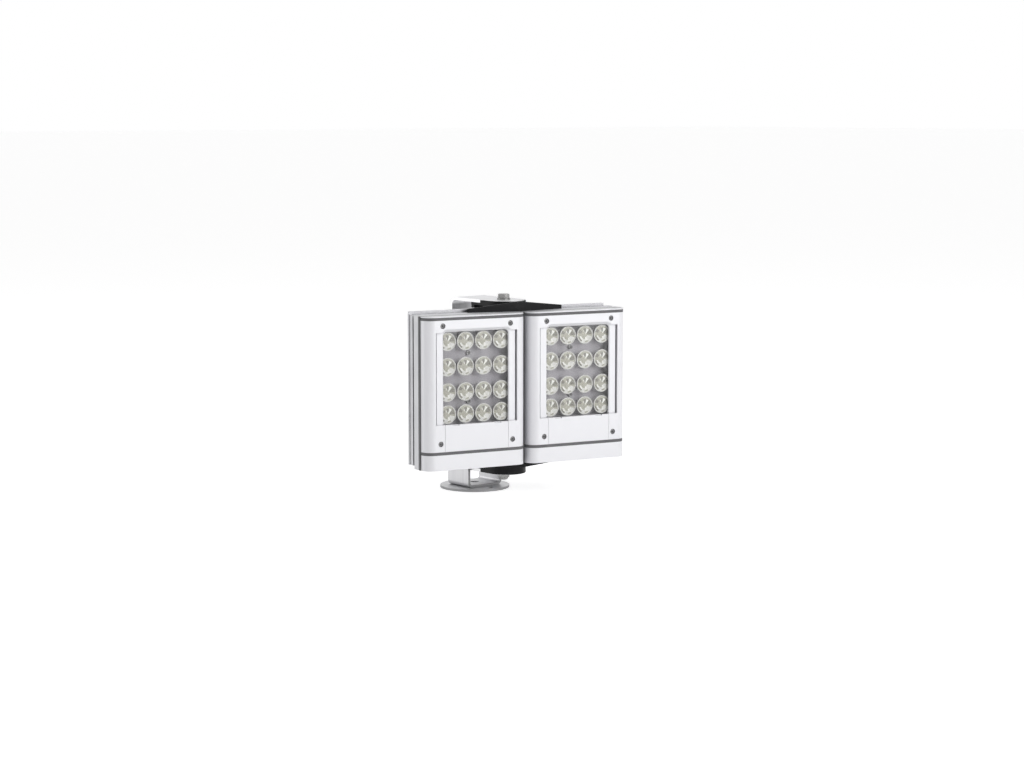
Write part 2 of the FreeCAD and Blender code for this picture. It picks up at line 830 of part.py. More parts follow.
def make_seal_frame(name):
    """Dark sealing frame between front cover and heat sink, all the way round."""
    body = new_body(f"{name}_seal_frame")
    outer = box_loop(-half_width, half_width, -half_height, half_height)
    inner_x = half_width - size.seal_width
    inner_z = half_height - size.seal_width
    inner = rounded_box(-inner_x, inner_x, -inner_z, inner_z, 4)
    add_prism(body, "XZ_Plane", 0, size.seal_depth, [outer, inner])
    return body


def window_loop(half, top, radius):
    """Rounded outline of the window at one depth."""
    return rounded_box(-half, half, -window_bottom, top, radius)


def make_front_cover(name):
    """Front cover: round corners, a bevelled window, a panel seat and two side channels."""
    body = new_body(f"{name}_front_cover")
    add_prism(body, "XY_Plane", cover_foot, cover_height, [cover_outline(0)])
    cavity_half = half_width - size.cavity_margin
    low_half = size.panel_width / 2 - 2
    cavity = [
        (-low_half, cover_foot + 4),
        (low_half, cover_foot + 4),
        (low_half, -board_bottom - 1),
        (cavity_half, -board_bottom - 1),
        (cavity_half, board_top + 1),
        (-cavity_half, board_top + 1),
        (-cavity_half, -board_bottom - 1),
        (-low_half, -board_bottom - 1),
    ]
    cut_prism(body, "XZ_Plane", -size.cavity_depth, size.cavity_depth + 1, [cavity])
    front_sketch = new_sketch(body, "XZ_Plane", front_face)
    draw_loop(front_sketch, window_loop(size.window_width / 2, window_top, size.window_radius))
    back_sketch = new_sketch(body, "XZ_Plane", pane_front)
    back_radius = size.window_radius - size.window_bevel
    draw_loop(back_sketch, window_loop(throat_half, window_top - size.window_bevel, back_radius))
    bevel = body.newObject("PartDesign::SubtractiveLoft", "WindowBevel")
    bevel.Profile = front_sketch
    bevel.Sections = [back_sketch]
    bevel.Ruled = True
    cuts.append(bevel)
    room_foot = window_bottom + size.pane_margin
    room_top = window_top - size.window_bevel + size.pane_margin
    room = [box_loop(-room_half, room_half, -room_foot, room_top)]
    cut_prism(body, "XZ_Plane", pane_front, -size.cavity_depth - pane_front + 0.5, room)
    seat_half = size.panel_width / 2 + size.panel_clear
    seat = [box_loop(-seat_half, seat_half, cover_foot - 1, -window_bottom + 1)]
    cut_prism(body, "XZ_Plane", front_face - 1, size.window_bevel + 1, seat)
    channels = []
    slits = []
    outer = half_width - size.channel_margin
    for way in (-1, 1):
        low, high = (-outer, -throat_half) if way < 0 else (throat_half, outer)
        channels.append(box_loop(low, high, -window_bottom, channel_top))
        low, high = (-outer, -outer + size.slit_width) if way < 0 else (outer - size.slit_width, outer)
        slits.append(box_loop(low, high, -window_bottom, channel_top))
    cut_prism(body, "XZ_Plane", front_face - 1, size.channel_depth + 1, channels)
    cut_prism(body, "XZ_Plane", front_face - 1, size.slit_depth + 1, slits)
    sinks = [(x, z, size.screw_sink_radius) for x, z in cover_screw_places()]
    holes = [(x, z, size.screw_radius + size.screw_clear) for x, z in cover_screw_places()]
    cut_prism(body, "XZ_Plane", front_face - 1, size.screw_sink_depth + 1, sinks)
    cut_prism(body, "XZ_Plane", front_face, size.cover_depth + 1, holes)
    bosses = [(x, y, size.screw_radius + size.screw_clear) for x, y in cap_screw_places()]
    cut_prism(body, "XY_Plane", cover_foot - 1, size.screw_bite + 1, bosses)
    return body


def cap_screw_places():
    """Centres of the two screws that hold the bottom cap from below."""
    return [(cap_screw_reach * way, -size.cap_screw_back) for way in (-1, 1)]


def make_caps(name):
    """Top plate, bottom cap and the dark seals between them and the front cover."""
    top = new_body(f"{name}_top_cap")
    add_prism(top, "XY_Plane", half_height - size.top_cap_height, size.top_cap_height, [cover_outline(0)])
    top_seal = new_body(f"{name}_top_seal")
    add_prism(top_seal, "XY_Plane", cover_top, size.top_seal_height, [cover_outline(0)])
    lower_seal = new_body(f"{name}_lower_seal")
    add_prism(lower_seal, "XY_Plane", cap_level, size.lower_seal_height, [cover_outline(0)])
    holes = [(x, y, size.screw_radius + size.screw_clear) for x, y in cap_screw_places()]
    cut_prism(lower_seal, "XY_Plane", cap_level - 1, size.lower_seal_height + 2, holes)
    bottom = new_body(f"{name}_bottom_cap")
    add_prism(bottom, "XY_Plane", -half_height, size.bottom_cap_height, [cover_outline(0)])
    cell = (cap_screw_reach * 2 - 12 - size.bottom_cap_wall) / size.bottom_cap_cells
    cells = []
    for i in range(int(SIZES["bottom_cap_cells"])):
        low = cell * i - cap_screw_reach + 6 + size.bottom_cap_wall
        high = low + cell - size.bottom_cap_wall
        cells.append(box_loop(low, high, front_face + size.bottom_cap_wall, -size.bottom_cap_wall + 1))
    cut_prism(bottom, "XY_Plane", -half_height - 1, size.bottom_cap_height - size.bottom_cap_wall + 1, cells)
    cut_prism(bottom, "XY_Plane", -half_height - 1, size.bottom_cap_height + 2, holes)
    sinks = [(x, y, size.screw_sink_radius) for x, y in cap_screw_places()]
    cut_prism(bottom, "XY_Plane", -half_height - 1, size.screw_sink_depth + 1, sinks)
    screws = new_body(f"{name}_cap_screws")
    seat = size.screw_sink_depth - half_height
    heads = [(x, y, size.screw_head_radius) for x, y in cap_screw_places()]
    shanks = [(x, y, size.screw_radius) for x, y in cap_screw_places()]
    add_prism(screws, "XY_Plane", seat - size.screw_head_height, size.screw_head_height, heads)
    reach = cover_foot - seat + size.screw_bite - 1
    add_prism(screws, "XY_Plane", seat, reach, shanks)
    sockets = [(x, y, size.screw_socket_radius) for x, y in cap_screw_places()]
    cut_prism(screws, "XY_Plane", seat - size.screw_head_height - 1, size.screw_head_height, sockets)
    return [top, top_seal, lower_seal, bottom, screws]


def make_window(name):
    """Clear pane behind the bevelled lip, and the removable panel below the window."""
    pane = new_body(f"{name}_window")
    half = room_half - size.pane_clear
    top = window_top - size.window_bevel + size.pane_margin - size.pane_clear
    foot = window_bottom + size.pane_margin - size.pane_clear
    sheet_loop = box_loop(-half, half, -foot, top)
    add_prism(pane, "XZ_Plane", pane_front, size.pane_thickness, [sheet_loop])
    panel = new_body(f"{name}_lower_panel")
    half = size.panel_width / 2
    panel_top = -window_bottom - size.panel_clear
    outline = [box_loop(-half, half, cover_foot, panel_top)]
    add_prism(panel, "XZ_Plane", front_face, size.window_bevel, outline)
    ticks = []
    for way in (-1, 1):
        centre = size.panel_width * way / 3
        low = centre - size.panel_tick_width / 2
        ticks.append(box_loop(low, low + size.panel_tick_width, panel_top - size.panel_tick_height, panel_top + 1))
    cut_prism(panel, "XZ_Plane", front_face - 1, size.window_bevel / 2 + 1, ticks)
    return [pane, panel]


def make_cover_screws(name):
    """Four socket screws, sunk into the front cover and biting into the heat sink."""
    body = new_body(f"{name}_cover_screws")
    seat = front_face + size.screw_sink_depth
    heads = [(x, z, size.screw_head_radius) for x, z in cover_screw_places()]
    shanks = [(x, z, size.screw_radius) for x, z in cover_screw_places()]
    sockets = [(x, z, size.screw_socket_radius) for x, z in cover_screw_places()]
    add_prism(body, "XZ_Plane", seat - size.screw_head_height, size.screw_head_height, heads)
    add_prism(body, "XZ_Plane", seat, size.seal_depth + size.screw_bite - seat, shanks)
    cut_prism(body, "XZ_Plane", seat - size.screw_head_height - 1, size.screw_head_height, sockets)
    return body


def lens_places():
    """Centres of the sixteen lenses."""
    rows = [board_height * share - board_bottom for share in LENS_ROWS]
    return [(size.lens_pitch * column, row) for row in rows for column in LENS_COLUMNS]


def board_screw_places():
    """Centres of the two screws that hold the board."""
    return [(x, board_height * share - board_bottom) for x, share in BOARD_SCREWS]


def make_board(name):
    """Emitter board with its screws, emitters and the small wiring board below it."""
    board = new_body(f"{name}_led_board")
    half = half_width - size.board_margin
    add_prism(board, "XZ_Plane", board_front, size.board_thickness,
              [box_loop(-half, half, -board_bottom, board_top)])
    hole = size.screw_radius + size.screw_clear
    holes = [(x, z, hole) for x, z in board_screw_places()]
    cut_prism(board, "XZ_Plane", board_front - 1, size.board_thickness + 2, holes)
    screws = new_body(f"{name}_board_screws")
    heads = [(x, z, size.screw_head_radius) for x, z in board_screw_places()]
    shanks = [(x, z, size.screw_radius) for x, z in board_screw_places()]
    sockets = [(x, z, size.screw_socket_radius) for x, z in board_screw_places()]
    add_prism(screws, "XZ_Plane", board_front - size.screw_head_height, size.screw_head_height, heads)
    add_prism(screws, "XZ_Plane", board_front, size.board_thickness + size.screw_bite - 1, shanks)
    cut_prism(screws, "XZ_Plane", board_front - size.screw_head_height - 1, size.screw_head_height, sockets)
    chips = new_body(f"{name}_led_chips")
    chip = size.chip_side / 2
    squares = [box_loop(x - chip, x + chip, z - chip, z + chip) for x, z in lens_places()]
    add_prism(chips, "XZ_Plane", board_front - size.chip_height, size.chip_height, squares)
    wiring = new_body(f"{name}_wiring_board")
    half = size.wiring_board_width / 2
    low = cover_foot + 5
    outline = [box_loop(-half, half, low, low + size.wiring_board_height)]
    add_prism(wiring, "XZ_Plane", board_front, size.board_thickness, outline)
    block = [box_loop(-half / 2, half / 2, low + 3, low + size.wiring_board_height - 3)]
    add_prism(wiring, "XZ_Plane", board_front - 5, 5, block)
    return [board, screws, chips, wiring]


def lens_section():
    """Half section of one collimator: a cone on a hollow foot under a dished round rim."""
    height = size.lens_height.value
    radius = size.lens_radius.value
    foot = size.lens_foot_radius.value
    rim = size.lens_rim_height.value
    hollow = foot - 2.0
    points = [
        (hollow, 0), (foot, 0), (radius - 0.7, height - rim), (radius, height - rim), (radius, height),
        (radius - 1.2, height), (radius - 1.6, height - 0.6), (hollow / 2, height - 0.6),
        (0, height - 0.9), (0, height * 0.45), (hollow * 0.8, height * 0.45),
    ]
    return Part.Face(Part.makePolygon([FreeCAD.Vector(r, -y, 0) for r, y in points + points[:1]]))


def make_lenses(name):
    """Sixteen clear collimator lenses standing on the board, one over each emitter."""
    lens = lens_section().revolve(FreeCAD.Vector(), FreeCAD.Vector(0, 1, 0), 360)
    copies = []
    for x, z in lens_places():
        copy = lens.copy()
        copy.translate(FreeCAD.Vector(number(x), board_front.value, number(z)))
        copies.append(copy)
    feature = doc.addObject("Part::Feature", f"{name}_lenses")
    feature.Label = f"{name}_lenses"
    feature.Shape = Part.makeCompound(copies)
    sub_parts.append(feature)
    return feature


def make_gland(name):
    """Cable gland in the flat foot of the heat sink: threaded body and clamping nut."""
    body = new_body(f"{name}_gland_body")
    seat = size.rim_back
    add_prism(body, "XZ_Plane", seat - 12, 12, [(0, gland_level, size.gland_thread_radius)])
    add_prism(body, "XZ_Plane", seat, size.gland_flange, [hexagon(0, gland_level, size.gland_flats)])
    face = seat + size.gland_flange
    add_prism(body, "XZ_Plane", face, size.gland_neck, [(0, gland_level, size.gland_neck_radius)])
    bore = [(0, gland_level, size.gland_bore_radius)]
    cut_prism(body, "XZ_Plane", seat - 13, size.gland_flange + size.gland_neck + 14, bore)
    nut = new_body(f"{name}_gland_nut")
    start = face + size.side_clear
    add_prism(nut, "XZ_Plane", start, size.gland_nut_length, [hexagon(0, gland_level, size.gland_nut_flats)])
    inner = [(0, gland_level, size.gland_neck_radius + size.screw_clear)]
    cut_prism(nut, "XZ_Plane", start - 1, size.gland_neck + 1, inner)
    cut_prism(nut, "XZ_Plane", start - 1, size.gland_nut_length + 2, bore)
    return [body, nut]


def make_head(name, side):
    """Every piece of one lamp head, then their common place."""
    pieces = [make_heat_sink(name, side), make_seal_frame(name), make_front_cover(name)]
    pieces += make_caps(name)
    pieces += make_window(name)
    pieces.append(make_cover_screws(name))
    pieces += make_board(name)
    pieces.append(make_lenses(name))
    pieces += make_gland(name)
    for piece in pieces:
        place_turned(piece, head_pitch * side / 2, head_middle)


def check_and_export():
    """Refuse a failed feature or shape, then write one file for each sub-part."""
    doc.recompute()
    for item in doc.Objects:
        if "Invalid" in item.State or "Error" in item.State:
            raise RuntimeError(f"{item.Label} failed: {item.State}")
    for cut in cuts:
        before = cut.BaseFeature.Shape.Volume
        if cut.Shape.Volume > before - 0.01:
            raise RuntimeError(f"{cut.Label} cuts nothing from {cut.getParentGeoFeatureGroup().Label}")
    for part in sub_parts:
        if part.Shape.isNull() or not part.Shape.isValid():
            raise RuntimeError(f"{part.Label} has no valid shape")
        part.Shape.exportStep(f"parts/{part.Label}.step")
    print(len(sub_parts), "sub-parts")


make_foot()
make_tilt_fasteners()
make_bracket()
make_pads()
make_pan_fasteners()
make_wings()
make_head("left", -1)
make_head("right", 1)
check_and_export()
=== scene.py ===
"""Dress the twin-head led flood light and set it up for its studio picture."""

import json
import logging
import math
from dataclasses import dataclass, field
from enum import Enum
from typing import Any, Callable, Iterable, Mapping, NamedTuple, Optional, Sequence, Union

import bmesh
import bpy
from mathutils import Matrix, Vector

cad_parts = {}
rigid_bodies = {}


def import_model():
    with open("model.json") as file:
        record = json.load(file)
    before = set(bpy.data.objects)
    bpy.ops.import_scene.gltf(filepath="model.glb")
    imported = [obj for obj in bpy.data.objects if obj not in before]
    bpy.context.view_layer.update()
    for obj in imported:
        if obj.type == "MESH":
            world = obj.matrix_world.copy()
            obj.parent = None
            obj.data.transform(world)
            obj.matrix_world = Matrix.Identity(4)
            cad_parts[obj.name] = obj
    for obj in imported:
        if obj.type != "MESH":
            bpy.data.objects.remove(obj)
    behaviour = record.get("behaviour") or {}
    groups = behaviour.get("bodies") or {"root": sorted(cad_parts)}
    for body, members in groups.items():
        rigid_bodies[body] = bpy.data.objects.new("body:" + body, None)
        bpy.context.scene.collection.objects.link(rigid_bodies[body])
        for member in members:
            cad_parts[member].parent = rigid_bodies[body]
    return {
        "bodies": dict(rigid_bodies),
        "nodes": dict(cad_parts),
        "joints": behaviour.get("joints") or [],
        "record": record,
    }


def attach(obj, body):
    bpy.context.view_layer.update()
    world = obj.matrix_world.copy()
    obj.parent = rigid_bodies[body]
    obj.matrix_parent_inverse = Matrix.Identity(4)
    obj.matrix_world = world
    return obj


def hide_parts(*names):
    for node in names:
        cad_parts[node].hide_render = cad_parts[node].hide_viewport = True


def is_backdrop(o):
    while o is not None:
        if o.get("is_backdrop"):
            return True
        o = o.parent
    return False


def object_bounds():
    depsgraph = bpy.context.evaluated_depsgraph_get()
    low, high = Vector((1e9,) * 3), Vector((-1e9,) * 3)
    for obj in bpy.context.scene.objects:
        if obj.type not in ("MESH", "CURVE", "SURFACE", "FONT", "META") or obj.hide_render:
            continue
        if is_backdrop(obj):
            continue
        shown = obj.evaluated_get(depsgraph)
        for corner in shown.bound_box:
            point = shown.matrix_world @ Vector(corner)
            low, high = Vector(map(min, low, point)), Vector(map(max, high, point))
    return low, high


Operand = Union["Value", float]
Triple = tuple[float, float, float]
Point = tuple[float, float]
Swell = Callable[[float], float]

MILLIMETRE = 0.001

log = logging.getLogger("flood_light")


class Side(Enum):
    """The lamp heads, seen from the front."""

    LEFT = "left"
    RIGHT = "right"


class Way(Enum):
    """Directions in a piece's own frame."""

    UP = "up"
    DOWN = "down"
    FRONT = "front"
    BACK = "back"
    LEFT = "left"
    RIGHT = "right"


class Grain(Enum):
    """The way in which the marks of the last finishing pass run."""

    ALONG_STRIP = (1.0, 0.006, 0.006)
    UPRIGHT = (0.3, 1.0, 0.006)


class Value:
    """A number that varies over a surface, held as an output socket of a node tree."""

    def __init__(self, graph: "Graph", socket: Optional[bpy.types.NodeSocket]) -> None:
        """Wrap one output socket.

        Args:
            graph: The graph whose node tree holds the socket.
            socket: The output socket that gives the number.
        """
        self.graph = graph
        self.socket = socket

    def math(self, operation: str, first: Operand, second: Operand) -> "Value":
        """Join two numbers with a Math node.

        Args:
            operation: The Math node's operation.
            first: The number on the first socket.
            second: The number on the second socket.

        Returns:
            The result as a new varying number.
        """
        return self.graph.node("ShaderNodeMath", {"operation": operation}, {0: first, 1: second})

    def __add__(self, other: Operand) -> "Value":
        """Give self + other."""
        return self.math("ADD", self, other)

    def __radd__(self, other: float) -> "Value":
        """Give other + self."""
        return self.math("ADD", other, self)

    def __sub__(self, other: Operand) -> "Value":
        """Give self - other."""
        return self.math("SUBTRACT", self, other)

    def __rsub__(self, other: float) -> "Value":
        """Give other - self."""
        return self.math("SUBTRACT", other, self)

    def __mul__(self, other: Operand) -> "Value":
        """Give self * other."""
        return self.math("MULTIPLY", self, other)

    def __rmul__(self, other: float) -> "Value":
        """Give other * self."""
        return self.math("MULTIPLY", other, self)

    def __gt__(self, other: Operand) -> "Value":
        """Give 1 where self is above other, else 0."""
        return self.math("GREATER_THAN", self, other)

    def __lt__(self, other: Operand) -> "Value":
        """Give 1 where self is below other, else 0."""
        return self.math("LESS_THAN", self, other)

    def between(self, low: float, high: float) -> "Value":
        """Rise from 0 at low to 1 at high, smoothly and never outside.

        Args:
            low: Where the result leaves 0.
            high: Where the result reaches 1.

        Returns:
            The smooth step of this number.
        """
        span = {"Value": self, "From Min": low, "From Max": high}
        return self.graph.node("ShaderNodeMapRange", {"interpolation_type": "SMOOTHSTEP"}, span)


class Graph:
    """A node tree under construction."""

    def __init__(self, tree: bpy.types.NodeTree) -> None:
        """Start with an emptied tree.

        Args:
            tree: The node tree to fill.
        """
        self.tree = tree
        self.tree.nodes.clear()

    def node(
        self, kind: str, settings: Optional[Mapping[str, Any]] = None,
        sockets: Optional[Mapping[Any, Any]] = None, output: Union[int, str] = 0,
    ) -> Value:
        """Add a node, make its settings first and then fill its sockets.

        Args:
            kind: The node's type name.
            settings: Its properties.
            sockets: Values or links by socket name or number.
            output: Which output the result wraps.

        Returns:
            The chosen output as a Value. A node without outputs gives an empty one.
        """
        made = self.tree.nodes.new(kind)
        for key, value in (settings or {}).items():
            setattr(made, key, value)
        for key, value in (sockets or {}).items():
            if isinstance(value, Value):
                self.tree.links.new(value.socket, made.inputs[key])
            elif isinstance(value, tuple) and made.inputs[key].type == "RGBA":
                made.inputs[key].default_value = (*value, 1.0)
            else:
                made.inputs[key].default_value = value
        return Value(self, made.outputs[output] if len(made.outputs) else None)

    def seen(self) -> Value:
        """Mark what the camera, a mirror or clear glass sees.

        Returns:
            1 for such rays and 0 for those that only light.
        """
        camera = self.node("ShaderNodeLightPath", output="Is Camera Ray")
        glossy = self.node("ShaderNodeLightPath", output="Is Glossy Ray")
        through = self.node("ShaderNodeLightPath", output="Is Transmission Ray")
        return (camera + glossy + through).between(0.0, 1.0)


class Paint(Graph):
    """One material under construction: its node tree and the calls that fill it."""

    def __init__(self, name: str) -> None:
        """Start an empty node material.

        Args:
            name: The material's name.
        """
        self.material = bpy.data.materials.new(name)
        self.material.use_nodes = True
        super().__init__(self.material.node_tree)

    def place(self) -> Value:
        """Give the point of the surface in the part's own frame, in metres."""
        return self.node("ShaderNodeTexCoord", output="Object")

    def facing(self) -> Value:
        """Give the way in which the surface looks."""
        return self.node("ShaderNodeNewGeometry", output="Normal")

    def stretched(self, scale: Triple) -> Value:
        """Give the point of the surface with each axis scaled.

        Args:
            scale: How many pattern units one metre holds along each axis.

        Returns:
            The scaled point.
        """
        return self.node("ShaderNodeVectorMath", {"operation": "MULTIPLY"}, {0: self.place(), 1: scale})

    def noise(self, scale: float, detail: float = 2.0, along: Triple = (1.0, 1.0, 1.0)) -> Value:
        """Give fractal noise between about 0.2 and 0.8.

        Args:
            scale: Pattern units in one metre.
            detail: How many finer layers are added.
            along: Relative scale of each axis, small where streaks run.

        Returns:
            The noise as a varying number.
        """
        point = self.stretched(tuple(scale * a for a in along))
        return self.node("ShaderNodeTexNoise", {}, {"Vector": point, "Scale": 1.0, "Detail": detail})

    def dot(self, first: Value, second: Union[Value, Triple]) -> Value:
        """Give the dot product of two directions."""
        return self.node("ShaderNodeVectorMath", {"operation": "DOT_PRODUCT"}, {0: first, 1: second}, "Value")

    def mixed(self, share: Operand, first: Union[Value, Triple], second: Union[Value, Triple]) -> Value:
        """Blend two colours.

        Args:
            share: 0 gives the first colour and 1 the second.
            first: The colour at 0.
            second: The colour at 1.

        Returns:
            The blended colour.
        """
        return self.node("ShaderNodeMix", {"data_type": "RGBA"}, {0: share, 6: first, 7: second}, 2)

    def soft_edges(self, radius: float) -> Value:
        """Give the surface's normal with its edges rounded by a radius in metres."""
        return self.node("ShaderNodeBevel", {"samples": 4}, {"Radius": radius})

    def edge_mask(self, radius: float) -> Value:
        """Mark the surface near its edges, for the coat's darker edges and the steel's painted edge shade.

        Args:
            radius: How far from an edge the mark reaches, in metres.

        Returns:
            0 on flat ground, rising at edges.
        """
        match = self.dot(self.facing(), self.soft_edges(radius))
        return (1.0 - match).between(0.02, 0.3)

    def hollow(self, reach: float) -> Value:
        """Mark the surface where other surfaces stand close, as in grooves and gaps.

        Args:
            reach: How far away they count, in metres.

        Returns:
            0 on open ground, rising to 1 in a deep corner.
        """
        open_share = self.node("ShaderNodeAmbientOcclusion", {"samples": 6}, {"Distance": reach}, "AO")
        return 1.0 - open_share

    def bump(self, height: Value, depth: float, strength: float = 1.0, edge: float = 0.0) -> Value:
        """Turn a height into a normal.

        Args:
            height: The height, between 0 and 1.
            depth: What a height of 1 is in metres.
            strength: Share of the relief that shows.
            edge: Radius in metres that rounds the edges under it, or 0.

        Returns:
            The normal for a shader.
        """
        sockets: dict[str, Any] = {"Height": height, "Distance": depth, "Strength": strength}
        if edge > 0.0:
            sockets["Normal"] = self.soft_edges(edge)
        return self.node("ShaderNodeBump", {}, sockets)

    def surface(self, shader: Value) -> bpy.types.Material:
        """Send a shader to the material's output.

        Args:
            shader: The finished shader.

        Returns:
            The material.
        """
        self.node("ShaderNodeOutputMaterial", {}, {"Surface": shader})
        return self.material

    def principled(self, sockets: Mapping[str, Any]) -> Value:
        """Add the main shader with the given sockets."""
        return self.node("ShaderNodeBsdfPrincipled", {}, sockets)


@dataclass(frozen=True)
class Finish:
    """A named surface finish. Each kind overrides shade."""

    name: str
    colour: Triple

    def toned(self, red: float, green: float, blue: float) -> Triple:
        """Give the finish's colour with each of its parts scaled."""
        return (self.colour[0] * red, self.colour[1] * green, self.colour[2] * blue)

    def shade(self, paint: Paint) -> Value:
        """Build the shader of this finish.

        Args:
            paint: The paint to build it in.

        Returns:
            The shader.
        """
        raise NotImplementedError

    def material(self) -> bpy.types.Material:
        """Give this finish as a material, made the first time it is asked for.

        Returns:
            The material, the same one at each call.
        """
        known = bpy.data.materials.get(self.name)
        if known is not None:
            return known
        paint = Paint(self.name)
        return paint.surface(self.shade(paint))


@dataclass(frozen=True)
class SatinCoat(Finish):
    """Light silver coat with fine flakes and a faint orange peel."""

    metal: float = 0.12
    roughness: float = 0.4
    edge: float = 0.0007
    cloud_scale: float = 22.0
    flake_scale: float = 2600.0
    edge_darkening_scale: float = 160.0
    peel_scale: float = 950.0
    peel_depth: float = 0.00002
    reach: float = 0.03
    hollow_shade_strength: float = 0.6
    clear_coat: float = 0.12
    clear_roughness: float = 0.25

    def shade(self, paint: Paint) -> Value:
        """Build the coat: cloudy colour, flakes, darker patchy edges, painted shade in corners and gaps, and
        peel.

        Args:
            paint: The paint to build it in.

        Returns:
            The shader.
        """
        clouds = paint.noise(self.cloud_scale, 3.0)
        point = paint.stretched((self.flake_scale,) * 3)
        flakes = paint.node("ShaderNodeTexVoronoi", {}, {"Vector": point, "Scale": 1.0})
        shade = paint.mixed(clouds, self.toned(0.965, 0.965, 0.975), self.colour)
        shade = paint.mixed(flakes.between(0.0, 0.9) * 0.1, shade, self.toned(0.75, 0.75, 0.78))
        # Darker patches along the edges.
        edge_darkening = paint.edge_mask(self.edge * 2.0) * paint.noise(self.edge_darkening_scale, 3.0).between(0.35, 0.7)
        shade = paint.mixed(edge_darkening * 0.22, shade, self.toned(0.55, 0.54, 0.52))
        # Painted shade: darker in corners, grooves and gaps where other surfaces stand close.
        hollow_shade = paint.hollow(self.reach).between(0.12, 0.9) * self.hollow_shade_strength
        shade = paint.mixed(hollow_shade, shade, self.toned(0.3, 0.3, 0.32))
        peel = paint.noise(self.peel_scale, 2.0)
        return paint.principled({
            "Base Color": shade, "Metallic": self.metal, "IOR": 1.5,
            "Roughness": self.roughness + (clouds - 0.5) * 0.12 + (peel - 0.5) * 0.06,
            "Coat Weight": self.clear_coat, "Coat Roughness": self.clear_roughness,
            "Normal": paint.bump(peel, self.peel_depth, 0.8, self.edge),
        })


@dataclass(frozen=True)
class CastCoat(Finish):
    """Coated casting with the fine sand texture of its mould."""

    metal: float = 0.2
    roughness: float = 0.42
    edge: float = 0.0008
    sand_scale: float = 1500.0
    sand_depth: float = 0.00006
    cloud_scale: float = 35.0
    reach: float = 0.02
    hollow_shade_strength: float = 1.0

    def shade(self, paint: Paint) -> Value:
        """Build the casting: sand grain, flow clouds and painted shade in grooves and corners.

        Args:
            paint: The paint to build it in.

        Returns:
            The shader.
        """
        sand = paint.noise(self.sand_scale, 4.0)
        clouds = paint.noise(self.cloud_scale, 4.0)
        shade = paint.mixed(clouds.between(0.3, 0.75), self.toned(0.9, 0.9, 0.91), self.colour)
        shade = paint.mixed(sand.between(0.55, 0.75) * 0.12, shade, self.toned(0.6, 0.6, 0.62))
        # Painted shade: darker in grooves, between fins and in corners.
        hollow_shade = paint.hollow(self.reach).between(0.25, 0.85) * self.hollow_shade_strength
        shade = paint.mixed(hollow_shade, shade, self.toned(0.12, 0.12, 0.13))
        return paint.principled({
            "Base Color": shade, "Metallic": self.metal, "IOR": 1.5,
            "Roughness": self.roughness + (sand - 0.5) * 0.2 + (clouds - 0.5) * 0.1,
            "Normal": paint.bump(sand, self.sand_depth, 0.7, self.edge),
        })


@dataclass(frozen=True)
class BrushedSteel(Finish):
    """Stainless sheet with the fine lines of its last grinding pass."""

    grain: Grain = Grain.ALONG_STRIP
    roughness: float = 0.42
    edge: float = 0.0005
    shaded_edge_reach: float = 0.0009
    line_scale: float = 2600.0
    line_depth: float = 0.00002
    band_scale: float = 420.0
    cloud_scale: float = 28.0
    painted_shade_tone: float = 0.35
    cut_below: float = 0.0

    def cut_faces(self, paint: Paint) -> Value:
        """Mark the sheared faces: those that look along Y, and the upright ones low on the foot.

        Args:
            paint: The paint to build the mark in.

        Returns:
            1 on the sheared faces, else 0.
        """
        normal = paint.facing()
        along = paint.dot(normal, (0.0, 1.0, 0.0))
        upward = paint.dot(normal, (0.0, 0.0, 1.0))
        height = paint.node("ShaderNodeSeparateXYZ", {}, {0: paint.place()}, "Z")
        low = (height < self.cut_below) * (upward * upward < 0.1)
        return low + (along * along > 0.8) * (1.0 - low)

    def shade(self, paint: Paint) -> Value:
        """Build the steel: lines, clouds, and painted shade along its edges and on its cut faces.

        Args:
            paint: The paint to build it in.

        Returns:
            The shader.
        """
        lines = paint.noise(self.line_scale, 3.0, self.grain.value)
        bands = paint.noise(self.band_scale, 2.0, self.grain.value)
        clouds = paint.noise(self.cloud_scale, 4.0)
        tone = (lines * 0.6 + bands * 0.4).between(0.3, 0.72)
        shade = paint.mixed(tone, self.toned(0.84, 0.84, 0.85), self.colour)
        shade = paint.mixed(clouds.between(0.45, 0.8) * 0.25, shade, self.toned(0.8, 0.79, 0.77))
        dark = self.toned(self.painted_shade_tone, self.painted_shade_tone, self.painted_shade_tone)
        # Painted shade: dark outlines along every edge, where the edges and bends lie in shade.
        shade = paint.mixed(paint.edge_mask(self.shaded_edge_reach) * 0.7, shade, dark)
        # Painted shade: the cut faces are darkened as if they lay in shade.
        if self.cut_below > 0.0:
            shade = paint.mixed(self.cut_faces(paint) * 0.85, shade, dark)
        return paint.principled({
            "Base Color": shade, "Metallic": 1.0,
            "Roughness": self.roughness + (lines - 0.5) * 0.22 + (clouds - 0.5) * 0.12,
            "Normal": paint.bump(lines, self.line_depth, 0.6, self.edge),
        })


@dataclass(frozen=True)
class TurnedSteel(Finish):
    """Plated fastener steel, slightly dulled."""

    roughness: float = 0.3
    edge: float = 0.0004
    mottle_scale: float = 700.0
    dent_scale: float = 240.0
    dent_depth: float = 0.00005

    def shade(self, paint: Paint) -> Value:
        """Build the plating: a mottle and small dents.

        Args:
            paint: The paint to build it in.

        Returns:
            The shader.
        """
        mottle = paint.noise(self.mottle_scale, 4.0)
        dents = paint.noise(self.dent_scale, 2.0)
        return paint.principled({
            "Base Color": paint.mixed(mottle.between(0.35, 0.7), self.toned(0.8, 0.79, 0.77), self.colour),
            "Metallic": 1.0, "Roughness": self.roughness + (mottle - 0.5) * 0.3,
            "Normal": paint.bump(dents, self.dent_depth, 0.5, self.edge),
        })


